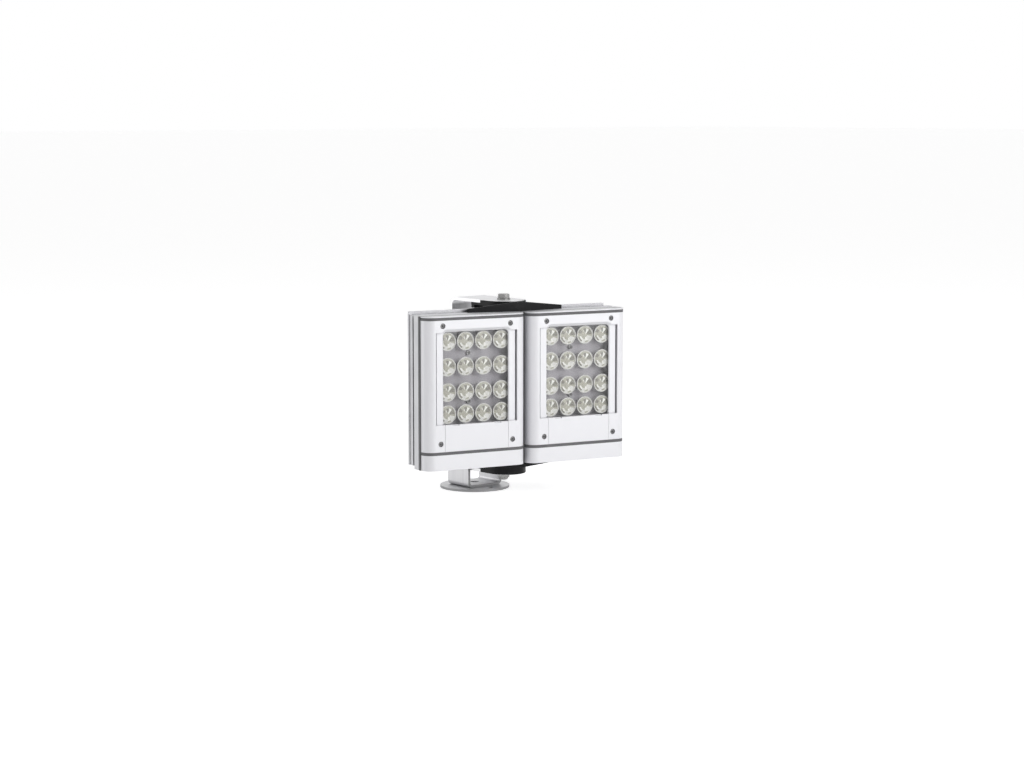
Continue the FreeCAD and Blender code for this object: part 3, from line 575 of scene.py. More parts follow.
@dataclass(frozen=True)
class GlossCoat(Finish):
    """Thick black gloss coat on sheet metal."""

    roughness: float = 0.42
    edge: float = 0.0006
    wave_scale: float = 130.0
    wave_depth: float = 0.00012
    dust_scale: float = 1800.0
    dust_tone: float = 0.05

    def shade(self, paint: Paint) -> Value:
        """Build the gloss: soft waves and dust.

        Args:
            paint: The paint to build it in.

        Returns:
            The shader.
        """
        waves = paint.noise(self.wave_scale, 2.0)
        dust = paint.noise(self.dust_scale, 5.0).between(0.62, 0.78)
        dusty = tuple(part + self.dust_tone for part in self.colour)
        return paint.principled({
            "Base Color": paint.mixed(dust * 0.12, self.colour, dusty), "Metallic": 0.0,
            "Roughness": self.roughness + (waves - 0.5) * 0.14 + dust * 0.15,
            "IOR": 1.3, "Specular IOR Level": 0.35,
            "Normal": paint.bump(waves, self.wave_depth, 0.5, self.edge),
        })


@dataclass(frozen=True)
class SealRubber(Finish):
    """Cured gray silicone rubber, matt with a fine grain."""

    roughness: float = 0.66
    edge: float = 0.0005
    grain_scale: float = 2200.0
    grain_depth: float = 0.00004
    bloom_scale: float = 60.0

    def shade(self, paint: Paint) -> Value:
        """Build the rubber: grain, bloom and soft edges.

        Args:
            paint: The paint to build it in.

        Returns:
            The shader.
        """
        grain = paint.noise(self.grain_scale, 3.0)
        bloom = paint.noise(self.bloom_scale, 4.0).between(0.35, 0.75)
        return paint.principled({
            "Base Color": paint.mixed(bloom, self.toned(0.82, 0.82, 0.83), self.colour),
            "Roughness": self.roughness + (grain - 0.5) * 0.25, "IOR": 1.45,
            "Normal": paint.bump(grain, self.grain_depth, 0.8, self.edge),
        })


@dataclass(frozen=True)
class MouldedPlastic(Finish):
    """Spark-eroded moulded plastic."""

    roughness: float = 0.5
    edge: float = 0.0005
    grain_scale: float = 1900.0
    grain_depth: float = 0.00006
    handled_scale: float = 90.0

    def shade(self, paint: Paint) -> Value:
        """Build the plastic: eroded grain and a little sheen on handled spots.

        Args:
            paint: The paint to build it in.

        Returns:
            The shader.
        """
        grain = paint.noise(self.grain_scale, 4.0)
        handled = paint.noise(self.handled_scale, 3.0).between(0.45, 0.75)
        polished = tuple(part * 1.5 + 0.01 for part in self.colour)
        return paint.principled({
            "Base Color": paint.mixed(handled * 0.3, self.colour, polished), "IOR": 1.5,
            "Roughness": self.roughness + (grain - 0.5) * 0.3 - handled * 0.12,
            "Normal": paint.bump(grain, self.grain_depth, 0.7, self.edge),
        })


@dataclass(frozen=True)
class BoardLacquer(Finish):
    """Pale lacquer over the metal core and the tracks of a circuit board."""

    roughness: float = 0.45
    edge: float = 0.0003
    weave_scale: float = 900.0
    weave_depth: float = 0.00003
    cloud_scale: float = 45.0

    def shade(self, paint: Paint) -> Value:
        """Build the lacquer: clouds, weave and ripples.

        Args:
            paint: The paint to build it in.

        Returns:
            The shader.
        """
        weave = paint.noise(self.weave_scale, 3.0)
        clouds = paint.noise(self.cloud_scale, 3.0)
        shade = paint.mixed(clouds.between(0.3, 0.7), self.toned(0.88, 0.87, 0.9), self.colour)
        shade = paint.mixed(weave.between(0.55, 0.75) * 0.2, shade, self.toned(1.2, 1.2, 1.2))
        return paint.principled({
            "Base Color": shade, "Metallic": 0.0, "IOR": 1.5, "Specular IOR Level": 0.1,
            "Roughness": self.roughness + (weave - 0.5) * 0.2,
            "Normal": paint.bump(weave, self.weave_depth, 0.6, self.edge),
        })


@dataclass(frozen=True)
class Phosphor(Finish):
    """The yellow silicone patch of a light-emitting chip."""

    roughness: float = 0.35
    edge: float = 0.0003
    mottle_scale: float = 1500.0
    mottle_depth: float = 0.00004

    def shade(self, paint: Paint) -> Value:
        """Build the patch: a soft mottle.

        Args:
            paint: The paint to build it in.

        Returns:
            The shader.
        """
        mottle = paint.noise(self.mottle_scale, 3.0)
        return paint.principled({
            "Base Color": paint.mixed(mottle, self.toned(0.85, 0.8, 0.7), self.colour),
            "Roughness": self.roughness + (mottle - 0.5) * 0.2, "IOR": 1.45,
            "Normal": paint.bump(mottle, self.mottle_depth, 0.5, self.edge),
        })


@dataclass(frozen=True)
class ClearPane(Finish):
    """Polished safety glass: clear ahead, a mirror at grazing angles."""

    index: float = 1.5
    mirror_share: float = 0.4
    dust_scale: float = 380.0
    dust_colour: Triple = (0.8, 0.8, 0.78)

    def shade(self, paint: Paint) -> Value:
        """Build the pane: reflection by angle over a see-through sheet, with a trace of dust.

        Args:
            paint: The paint to build it in.

        Returns:
            The shader.
        """
        mirror = paint.node("ShaderNodeFresnel", {}, {"IOR": self.index})
        dust = paint.noise(self.dust_scale, 5.0).between(0.55, 0.8)
        return paint.principled({
            "Base Color": paint.mixed(dust, self.colour, self.dust_colour), "Metallic": 1.0,
            "Roughness": 0.03 + dust * 0.2, "Alpha": mirror * self.mirror_share + dust * 0.02 + 0.002,
        })


@dataclass(frozen=True)
class LensFacet(Finish):
    """Moulded optical plastic, painted opaque with the light and shade that it shows over its bright hollow:
    pale, glossy and a little warm.
    """

    roughness: float = 0.16
    flow_scale: float = 620.0
    flow_depth: float = 0.00012
    clear_coat: float = 0.06

    def shade(self, paint: Paint) -> Value:
        """Build the facet: light flow marks, moulding ripples and a clear skin.

        Args:
            paint: The paint to build it in.

        Returns:
            The shader.
        """
        flow = paint.noise(self.flow_scale, 3.0)
        marks = flow.between(0.3, 0.7) * 0.5
        return paint.principled({
            "Base Color": paint.mixed(marks, self.colour, self.toned(0.72, 0.71, 0.66)),
            "Roughness": self.roughness + flow * 0.12, "IOR": 1.49, "Specular IOR Level": 0.2,
            "Coat Weight": self.clear_coat, "Coat Roughness": 0.06,
            "Normal": paint.bump(flow, self.flow_depth, 0.4),
        })


@dataclass(frozen=True)
class StudioFloor(Finish):
    """Pale seamless floor that keeps the shadow of what stands on it."""

    lift: float = 0.64
    mottle_scale: float = 3.0

    def shade(self, paint: Paint) -> Value:
        """Build the floor: matt, and brighter where the camera, metal or glass sees it.

        Args:
            paint: The paint to build it in.

        Returns:
            The shader.
        """
        mottle = paint.noise(self.mottle_scale, 2.0)
        shade = paint.mixed(mottle * 0.02, self.colour, (0.85, 0.85, 0.86))
        rough = 0.9 + mottle * 0.05
        floor = paint.principled({"Base Color": shade, "Roughness": rough, "Specular IOR Level": 0.1})
        strength = paint.seen() * self.lift
        glow = paint.node("ShaderNodeEmission", {}, {"Color": (1.0, 1.0, 1.0), "Strength": strength})
        return paint.node("ShaderNodeAddShader", {}, {0: floor, 1: glow})


@dataclass(frozen=True)
class Finishes:
    """All finishes of the flood light, by what they cover."""

    cover: Finish = SatinCoat("satin_cover_coat", (0.9, 0.9, 0.925))
    casting: Finish = CastCoat("cast_housing_coat", (0.78, 0.78, 0.8))
    seal: Finish = SealRubber("seal_rubber", (0.165, 0.165, 0.17))
    strip: Finish = BrushedSteel("brushed_bracket_steel", (0.74, 0.74, 0.75))
    foot: Finish = BrushedSteel("brushed_foot_steel", (0.58, 0.58, 0.59), Grain.UPRIGHT, cut_below=0.0031)
    fastener: Finish = TurnedSteel("plated_fastener", (0.3, 0.3, 0.3))
    screw: Finish = TurnedSteel("dull_socket_screw", (0.2, 0.2, 0.205), 0.45)
    # Black nylon of the lock nut inserts, and painted shade as the dark hexagon over each screw socket.
    insert: Finish = MouldedPlastic("nut_insert_and_socket_shade", (0.03, 0.03, 0.032))
    gloss: Finish = GlossCoat("black_gloss_coat", (0.008, 0.008, 0.009))
    gland: Finish = MouldedPlastic("black_moulded_plastic", (0.02, 0.02, 0.021))
    board: Finish = BoardLacquer("board_lacquer", (0.54, 0.525, 0.555))
    track: Finish = BoardLacquer("board_track_lacquer", (0.59, 0.575, 0.605))
    emitter: Finish = Phosphor("emitter_phosphor", (0.8, 0.62, 0.12))
    pane: Finish = ClearPane("polished_window_pane", (0.97, 0.98, 0.97))
    # Painted light on the lenses: the rim and highlight tone, the body tone that the lit hollow gives through
    # the clear plastic, painted shade and a painted highlight.
    lens_rim_and_highlight: Finish = LensFacet("lens_rim_and_highlight_plastic", (0.88, 0.88, 0.86))
    lens_body: Finish = LensFacet("lens_body_plastic", (0.56, 0.55, 0.48))
    lens_painted_shade: Finish = LensFacet("lens_painted_shade_plastic", (0.33, 0.322, 0.285))
    lens_painted_highlight: Finish = LensFacet("lens_painted_highlight_plastic", (1.0, 1.0, 0.97))
    floor: Finish = StudioFloor("studio_floor", (0.9, 0.9, 0.9))


FINISHES = Finishes()


@dataclass(frozen=True)
class Frame:
    """A place and three directions in which a form is drawn, in millimetres."""

    origin: Vector
    right: Vector = field(default_factory=lambda: Vector((1.0, 0.0, 0.0)))
    back: Vector = field(default_factory=lambda: Vector((0.0, 1.0, 0.0)))
    up: Vector = field(default_factory=lambda: Vector((0.0, 0.0, 1.0)))

    def at(self, x: float, y: float, z: float) -> Vector:
        """Give a point of this frame in the part's own frame.

        Args:
            x: Millimetres to the right.
            y: Millimetres to the back.
            z: Millimetres up.

        Returns:
            The point in metres.
        """
        return self.origin + (self.right * x + self.back * y + self.up * z) * MILLIMETRE

    def moved(self, x: float, y: float, z: float) -> "Frame":
        """Give this frame at another of its points."""
        return Frame(self.at(x, y, z), self.right, self.back, self.up)

    def facing(self, way: Way) -> "Frame":
        """Give this frame turned so that its up points along one of its directions.

        Args:
            way: Where the new up points.

        Returns:
            The turned frame at the same origin.
        """
        turned = {
            Way.UP: (self.right, self.back, self.up),
            Way.DOWN: (-self.right, self.back, -self.up),
            Way.FRONT: (self.right, self.up, -self.back),
            Way.BACK: (-self.right, self.up, self.back),
            Way.RIGHT: (self.back, self.up, self.right),
            Way.LEFT: (-self.back, self.up, -self.right),
        }[way]
        return Frame(self.origin, *turned)


PART = Frame(Vector((0.0, 0.0, 0.0)))


def rectangle(left: float, right: float, low: float, high: float) -> list[Point]:
    """Give the corners of an upright rectangle."""
    return [(left, low), (right, low), (right, high), (left, high)]


class Ring(NamedTuple):
    """One ring of a turned form."""

    radius: float
    height: float
    swelled: float = 1.0


class Form:
    """A mesh under construction: points, faces and the finish of each face."""

    def __init__(self, name: str, body: str) -> None:
        """Start an empty form.

        Args:
            name: Name of the piece.
            body: Rigid body that carries it.
        """
        self.name = name
        self.body = body
        self.points: list[Vector] = []
        self.faces: list[tuple[int, ...]] = []
        self.kinds: list[int] = []
        self.finishes: list[Finish] = []

    def face(self, corners: Sequence[int], finish: Finish) -> None:
        """Add one face.

        Args:
            corners: Numbers of its points.
            finish: What covers it.
        """
        if finish not in self.finishes:
            self.finishes.append(finish)
        self.faces.append(tuple(corners))
        self.kinds.append(self.finishes.index(finish))

    def loop(self, points: Iterable[Vector]) -> list[int]:
        """Add points.

        Args:
            points: The points in metres.

        Returns:
            Their numbers.
        """
        start = len(self.points)
        self.points.extend(points)
        return list(range(start, len(self.points)))

    def bridge(self, first: Sequence[int], second: Sequence[int], finish: Finish) -> None:
        """Join two closed loops of the same length by a band of faces.

        Args:
            first: Numbers of one loop's points.
            second: Numbers of the other loop's points.
            finish: What covers the band.
        """
        count = len(first)
        for i in range(count):
            after = (i + 1) % count
            self.face((first[i], first[after], second[after], second[i]), finish)

    def stack(self, loops: Sequence[Sequence[int]], finish: Finish) -> None:
        """Join loops one after the other and close both ends.

        Args:
            loops: The numbers of each loop's points.
            finish: What covers the faces.
        """
        for first, second in zip(loops, loops[1:]):
            self.bridge(first, second, finish)
        self.face(loops[0], finish)
        self.face(loops[-1], finish)

    def ring(self, frame: Frame, ring: Ring, sectors: int, swell: Optional[Swell]) -> list[int]:
        """Add the points of one ring about the frame's up and give their numbers.

        Args:
            frame: Where the ring lies.
            ring: Its radius, height and share of the swell.
            sectors: How many corners it has.
            swell: Factor on the radius over the angle, for flats and ribs.

        Returns:
            The numbers of its points.
        """
        points = []
        for i in range(sectors):
            angle = 2.0 * math.pi * i / sectors
            factor = 1.0 + (swell(angle) - 1.0) * ring.swelled if swell else 1.0
            reach = ring.radius * factor
            points.append(frame.at(reach * math.cos(angle), reach * math.sin(angle), ring.height))
        return self.loop(points)

    def turned(
        self, frame: Frame, profile: Sequence[Ring], finish: Finish, sectors: int = 32,
        swell: Optional[Swell] = None,
    ) -> None:
        """Add a form turned about the frame's up, closed at both ends.

        Args:
            frame: Where it stands.
            profile: The rings from one end to the other.
            finish: What covers it.
            sectors: How many corners a ring has.
            swell: Factor on the radius over the angle, for flats and ribs.
        """
        self.stack([self.ring(frame, ring, sectors, swell) for ring in profile], finish)

    def tube(
        self, frame: Frame, profile: Sequence[Ring], finish: Finish, sectors: int = 32,
        swell: Optional[Swell] = None,
    ) -> None:
        """Add a ring whose section is a closed profile, such as a nut with its bore.

        Args:
            frame: Where it stands.
            profile: The rings round the section.
            finish: What covers it.
            sectors: How many corners a ring has.
            swell: Factor on the radius over the angle, for flats and ribs.
        """
        rings = [self.ring(frame, ring, sectors, swell) for ring in profile]
        for first, second in zip(rings, rings[1:] + rings[:1]):
            self.bridge(first, second, finish)

    def prism(
        self, frame: Frame, outline: Sequence[Point], low: float, high: float, finish: Finish,
        chamfer: float = 0.0,
    ) -> None:
        """Add an upright prism over an outline, its top edge chamfered.

        Args:
            frame: Frame of the outline.
            outline: Corners to the right and back.
            low: Level of its foot.
            high: Level of its top.
            finish: What covers it.
            chamfer: Width of the chamfer, measured towards the outline's middle.
        """
        middle_x = sum(x for x, _ in outline) / len(outline)
        middle_y = sum(y for _, y in outline) / len(outline)
        loops = [self.loop(frame.at(x, y, level) for x, y in outline) for level in (low, high - chamfer)]
        if chamfer > 0.0:
            drawn = []
            for x, y in outline:
                away_x, away_y = x - middle_x, y - middle_y
                share = 1.0 - chamfer / math.hypot(away_x, away_y)
                drawn.append(frame.at(middle_x + away_x * share, middle_y + away_y * share, high))
            loops.append(self.loop(drawn))
        self.stack(loops, finish)

    def build(self, *replaced: bpy.types.Object, slot: str, sharp: float = 32.0) -> None:
        """Make the object, hand it to its body and take the place of plainer nodes.

        Args:
            replaced: The nodes whose place it takes.
            slot: The record's material slot that it belongs to; not used.
            sharp: Angle in degrees from which an edge stays sharp.
        """
        mesh = bpy.data.meshes.new(self.name)
        mesh.from_pydata([tuple(point) for point in self.points], [], self.faces)
        for finish in self.finishes:
            mesh.materials.append(finish.material())
        for polygon, kind in zip(mesh.polygons, self.kinds):
            polygon.material_index = kind
            polygon.use_smooth = True
        shell = bmesh.new()
        shell.from_mesh(mesh)
        bmesh.ops.recalc_face_normals(shell, faces=shell.faces)
        shell.to_mesh(mesh)
        shell.free()
        mesh.set_sharp_from_angle(angle=math.radians(sharp))
        holder = bpy.data.objects.new(self.name, mesh)
        bpy.context.scene.collection.objects.link(holder)
        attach(holder, self.body)
        for node in replaced:
            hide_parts(node.name)
        log.info("piece %s: %d faces on %s", self.name, len(self.faces), self.body)


def hexed(angle: float) -> float:
    """Give the factor from half the width over flats to a hexagon's outline."""
    return 1.0 / math.cos(angle % (math.pi / 3.0) - math.pi / 6.0)


@dataclass(frozen=True)
class Ribs:
    """Even grip ribs round a turned form."""

    count: int
    depth: float

    def __call__(self, angle: float) -> float:
        """Give the factor on the radius at an angle."""
        return 1.0 + self.depth * (0.5 + 0.5 * math.cos(self.count * angle))


@dataclass(frozen=True)
class HexBolt:
    """Hexagon bolt with a chamfered head and a threaded end."""

    flats: float = 13.0
    head: float = 5.3
    shank: float = 4.0
    root: float = 3.45
    pitch: float = 1.25
    root_share: float = 0.45
    crest_share: float = 0.95
    point_share: float = 0.94
    seat_share: float = 0.96
    crown_share: float = 0.8
    chamfer: float = 0.9

    def add(self, form: Form, frame: Frame, length: float, threaded: float) -> None:
        """Add the bolt to a form.

        Args:
            form: The form that takes it.
            frame: Centre of the head's seat, with up pointing out of the head.
            length: Length of the shank.
            threaded: Length of the thread at its end.
        """
        half = self.flats / 2.0
        form.turned(frame, [
            Ring(half * self.seat_share, 0.0, 0.0), Ring(half, 0.25), Ring(half, self.head - self.chamfer),
            Ring(half * 0.98, self.head - 0.1, 0.0), Ring(half * self.crown_share, self.head, 0.0),
        ], FINISHES.fastener, 48, hexed)
        rings = [Ring(self.shank, 0.0), Ring(self.shank, threaded - length)]
        for step in range(int(threaded / self.pitch)):
            start = threaded - length - step * self.pitch
            rings.append(Ring(self.root, start - self.pitch * self.root_share))
            rings.append(Ring(self.shank, start - self.pitch * self.crest_share))
        rings.append(Ring(self.root * self.point_share, -length))
        form.turned(frame, rings, FINISHES.fastener, 32)


@dataclass(frozen=True)
class LockNut:
    """Hexagon lock nut with a plastic insert in its collar."""

    flats: float = 13.0
    height: float = 6.5
    bore: float = 4.05
    collar: float = 5.7
    collar_height: float = 1.9
    insert: float = 4.9
    insert_drop: float = 0.25
    seat_share: float = 0.96

    def add(self, form: Form, frame: Frame) -> None:
        """Add the nut to a form.

        Args:
            form: The form that takes it.
            frame: Centre of its seat, with up pointing away from the seat.
        """
        half = self.flats / 2.0
        shoulder = self.height - self.collar_height
        form.tube(frame, [
            Ring(self.bore, 0.0, 0.0), Ring(half * self.seat_share, 0.0, 0.0),
            Ring(half, 0.4), Ring(half, shoulder - 0.7), Ring(half * 0.94, shoulder, 0.0),
            Ring(self.collar, shoulder + 0.2, 0.0), Ring(self.collar, self.height - 0.5, 0.0),
            Ring(self.collar - 0.5, self.height, 0.0), Ring(self.insert, self.height, 0.0),
            Ring(self.insert, shoulder, 0.0), Ring(self.bore, shoulder, 0.0),
        ], FINISHES.fastener, 48, hexed)
        low, high = shoulder + 0.05, self.height - self.insert_drop
        form.tube(frame, [
            Ring(self.bore, low, 0.0), Ring(self.insert, low, 0.0),
            Ring(self.insert, high, 0.0), Ring(self.bore, high, 0.0),
        ], FINISHES.insert, 32)


@dataclass(frozen=True)
class Washer:
    """Flat washer with broken edges and a hair of air on both sides."""

    radius: float = 8.0
    bore: float = 4.15
    thickness: float = 1.6
    air: float = 0.03
    chamfer: float = 0.25

    def add(self, form: Form, frame: Frame) -> None:
        """Add the washer to a form.

        Args:
            form: The form that takes it.
            frame: Centre of its lower face, with up across its thickness.
        """
        low, high = self.air, self.thickness - self.air
        flat = self.radius - self.chamfer
        form.tube(frame, [
            Ring(self.bore, low), Ring(flat, low), Ring(self.radius, low + self.chamfer),
            Ring(self.radius, high - self.chamfer), Ring(flat, high), Ring(self.bore, high),
        ], FINISHES.fastener, 40)


@dataclass(frozen=True)
class SocketScrew:
    """Socket screw head: a domed round head with a hexagon socket."""

    radius: float
    height: float
    socket: float
    socket_depth: float
    dome: float = 0.3
    ribs: int = 0
    rib_depth: float = 0.03

    def add(self, form: Form, frame: Frame) -> None:
        """Add the head to a form.

        Args:
            form: The form that takes it.
            frame: Centre of its seat, with up pointing out of the head.
        """
        swell = Ribs(self.ribs, -self.rib_depth) if self.ribs else None
        half, height = self.socket / 2.0, self.height
        lip, hexagon = half * 1.25, half * 1.1
        form.turned(frame, [
            Ring(self.radius, 0.0), Ring(self.radius, height - self.dome),
            Ring(self.radius - self.dome * 0.5, height - self.dome * 0.3, 0.0),
            Ring(self.radius - self.dome, height, 0.0), Ring(lip, height, 0.0),
        ], FINISHES.screw, 48, swell)
        form.tube(frame, [
            Ring(lip, height + 0.01, 0.0), Ring(lip, height - 0.05, 0.0),
            Ring(half, height - self.socket_depth), Ring(half, height - 0.15),
        ], FINISHES.screw, 48)
        # Painted shade: a thin black hexagon over the socket stands in for its dark inside.
        form.turned(frame, [Ring(hexagon, height + 0.012), Ring(hexagon, height + 0.014)], FINISHES.insert, 6)


@dataclass
class SubAssembly:
    """A group of nodes that one body carries, and what is built on them."""

    nodes: dict[str, bpy.types.Object]

    def coat(self, finish: Finish, *names: str) -> None:
        """Give nodes a finish.

        Args:
            finish: The finish to apply.
            names: The nodes that take it.
        """
        material = finish.material()
        for name in names:
            holder = self.nodes[name]
            if not holder.material_slots:
                holder.data.materials.append(material)
            for slot in holder.material_slots:
                slot.material = material
            log.info("node %s: %s", name, finish.name)

    def dress(self) -> None:
        """Build and finish everything of this group."""
        raise NotImplementedError


@dataclass
class Foot(SubAssembly):
    """The folded foot and its tilt bolt."""

    pivot_height: float = 41.0
    seat: float = 27.6
    tail: float = 1.0
    threaded: float = 22.0
    ear_face: float = 26.0
    bolt: HexBolt = HexBolt()
    nut: LockNut = LockNut()
    washer: Washer = Washer()

    def build_fasteners(self) -> None:
        """Build the tilt bolt, its lock nut and washers."""
        axis = PART.moved(0.0, 0.0, self.pivot_height)
        form = Form("tilt_bolt_detail", "foot")
        length = self.seat * 2.0 + self.nut.height + self.tail
        self.bolt.add(form, axis.moved(-self.seat, 0.0, 0.0).facing(Way.LEFT), length, self.threaded)
        form.build(self.nodes["tilt_bolt"], slot="fastener")
        form = Form("tilt_nut_detail", "foot")
        self.nut.add(form, axis.moved(self.seat, 0.0, 0.0).facing(Way.RIGHT))
        form.build(self.nodes["tilt_nut"], slot="fastener")
        form = Form("tilt_washers_detail", "foot")
        for reach, way in ((-self.ear_face, Way.LEFT), (self.ear_face, Way.RIGHT)):
            self.washer.add(form, axis.moved(reach, 0.0, 0.0).facing(way))
        form.build(self.nodes["tilt_washers"], slot="fastener")

    def dress(self) -> None:
        """Finish the foot's steel and build its fasteners."""
        self.coat(FINISHES.foot, "foot_bracket")
        self.build_fasteners()


@dataclass
class Bracket(SubAssembly):
    """The folded strip with its pads and pan bolts."""

    pan_y: float = -56.0
    top_seat: float = 236.3
    top_length: float = 21.9
    low_seat: float = 45.1
    low_length: float = 29.1
    threaded: float = 10.0
    top_nut_seat: float = 221.9
    low_nut_seat: float = 23.5
    washer_levels: tuple[float, ...] = (234.7, 221.9, 43.5, 23.5)
    tail_half: float = 22.5
    tail_front: float = 28.5
    tail_back: float = 33.9
    tail_low: float = 223.9
    tail_high: float = 227.6
    tail_chamfer: float = 0.5
    bolt: HexBolt = HexBolt()
    nut: LockNut = LockNut()
    washer: Washer = Washer()

    def build_fasteners(self) -> None:
        """Build both pan bolts, their lock nuts and washers."""
        axis = PART.moved(0.0, self.pan_y, 0.0)
        bolts = {
            "top_pan_bolt": (self.top_seat, self.top_length),
            "bottom_pan_bolt": (self.low_seat, self.low_length),
        }
        for name, (seat, length) in bolts.items():
            form = Form(f"{name}_detail", "bracket")
            self.bolt.add(form, axis.moved(0.0, 0.0, seat), length, self.threaded)
            form.build(self.nodes[name], slot="fastener")
        form = Form("pan_nuts_detail", "bracket")
        for seat in (self.top_nut_seat, self.low_nut_seat):
            self.nut.add(form, axis.moved(0.0, 0.0, seat).facing(Way.DOWN))
        form.build(self.nodes["pan_nuts"], slot="fastener")
        form = Form("pan_washers_detail", "bracket")
        for level in self.washer_levels:
            self.washer.add(form, axis.moved(0.0, 0.0, level))
        form.build(self.nodes["pan_washers"], slot="fastener")

    def build_tail(self) -> None:
        """Build the stop block under the tail of the upper pad."""
        form = Form("top_pad_tail", "bracket")
        block = rectangle(-self.tail_half, self.tail_half, self.tail_front, self.tail_back)
        place = PART.moved(0.0, self.pan_y, self.tail_high).facing(Way.DOWN)
        form.prism(place, block, 0.0, self.tail_high - self.tail_low, FINISHES.gloss, self.tail_chamfer)
        form.build(slot="black_plate")

    def dress(self) -> None:
        """Finish the strip and the pads and build the fasteners."""
        self.coat(FINISHES.strip, "u_bracket")
        self.coat(FINISHES.gloss, "top_pivot_pad", "bottom_pivot_pad")
        self.build_fasteners()
        self.build_tail()


@dataclass
class TurnedGroup(SubAssembly):
    """Anything that turns with the lamp heads, drawn in their turned frame."""

    pan_turn: float = 12.0
    pan_y: float = -56.0
    pan_back: float = 50.0

    def frame(self, sideways: float, level: float) -> Frame:
        """Give the frame of a piece that stands sideways from the middle of both heads.

        Args:
            sideways: Distance of its middle to the right.
            level: Height of its origin.

        Returns:
            The turned frame.
        """
        turn = math.radians(self.pan_turn)
        right = Vector((math.cos(turn), -math.sin(turn), 0.0))
        back = Vector((math.sin(turn), math.cos(turn), 0.0))
        pivot = Vector((0.0, self.pan_y * MILLIMETRE, 0.0))
        return Frame(pivot, right, back).moved(sideways, -self.pan_back, level)


@dataclass
class Wings(TurnedGroup):
    """The black plates that join the heads."""

    top_level: float = 227.5
    low_level: float = 39.5
    screw_back: float = 24.0
    raised_reach: float = 24.0
    flush_reach: float = 44.0
    raised: SocketScrew = SocketScrew(4.55, 1.9, 3.0, 1.4, 0.7)
    flush: SocketScrew = SocketScrew(4.4, 0.4, 3.0, 0.3, 0.2)
    flange_tip: float = 62.0
    flange_flat: float = 6.0
    flange_front: float = 8.2
    flange_slope: float = 0.1746
    flange_gauge: float = 2.3
    flange_low: float = 3.3
    flange_high: float = 7.2
    flange_low_end: float = 0.1
    flange_high_end: float = 0.7
    flange_thinnest: float = 0.2
    flange_chamfer: float = 0.4

    def build_screws(self) -> None:
        """Build the eight button heads of the wing plates."""
        form = Form("wing_screws_detail", "heads")
        for level, way in ((self.top_level, Way.UP), (self.low_level, Way.DOWN)):
            for reach, screw in ((self.raised_reach, self.raised), (self.flush_reach, self.flush)):
                for side in (-1.0, 1.0):
                    place = self.frame(0.0, level).moved(reach * side, self.screw_back, 0.0)
                    screw.add(form, place.facing(way))
        form.build(self.nodes["wing_screws"], slot="fastener")

    def build_flange(self) -> None:
        """Build the crown of the upper wing's front flange, highest over the nose."""
        form = Form("top_wing_flange", "heads")
        home, chamfer = self.frame(0.0, self.top_level), self.flange_chamfer
        sections = []
        for x in (-self.flange_tip, -self.flange_flat, self.flange_flat, self.flange_tip):
            front = self.flange_front + self.flange_slope * abs(x)
            back = front + self.flange_gauge
            share = (abs(x) - self.flange_flat) / (self.flange_tip - self.flange_flat)
            high = self.flange_high + (self.flange_high_end - self.flange_high) * share
            low = self.flange_low + (self.flange_low_end - self.flange_low) * share
            low = min(low, high - self.flange_thinnest)
            profile = (
                (front, low), (front, high - chamfer), (front + chamfer, high),
                (back - chamfer, high), (back, high - chamfer), (back, low),
            )
            sections.append(form.loop(home.at(x, y, z) for y, z in profile))
        form.stack(sections, FINISHES.gloss)
        form.build(slot="black_plate")

    def dress(self) -> None:
        """Finish the plates and stop pins and build the screws."""
        self.coat(FINISHES.gloss, "top_wing_plate", "bottom_wing_plate", "wing_stop_pins")
        self.build_screws()
        self.build_flange()


@dataclass(frozen=True)
class Wedge:
    """A patch of painted highlight or painted shade on a lens face, covered by one finish."""

    start: float
    stop: float
    inner: float
    outer: float
    finish: Finish

    def covers(self, angle: float, share: float) -> bool:
        """Tell whether a point lies in the patch.

        Args:
            angle: Degrees from the right, towards the top.
            share: Distance from the middle as a share of the lens's radius.

        Returns:
            True inside.
        """
        return self.start <= angle < self.stop and self.inner <= share < self.outer


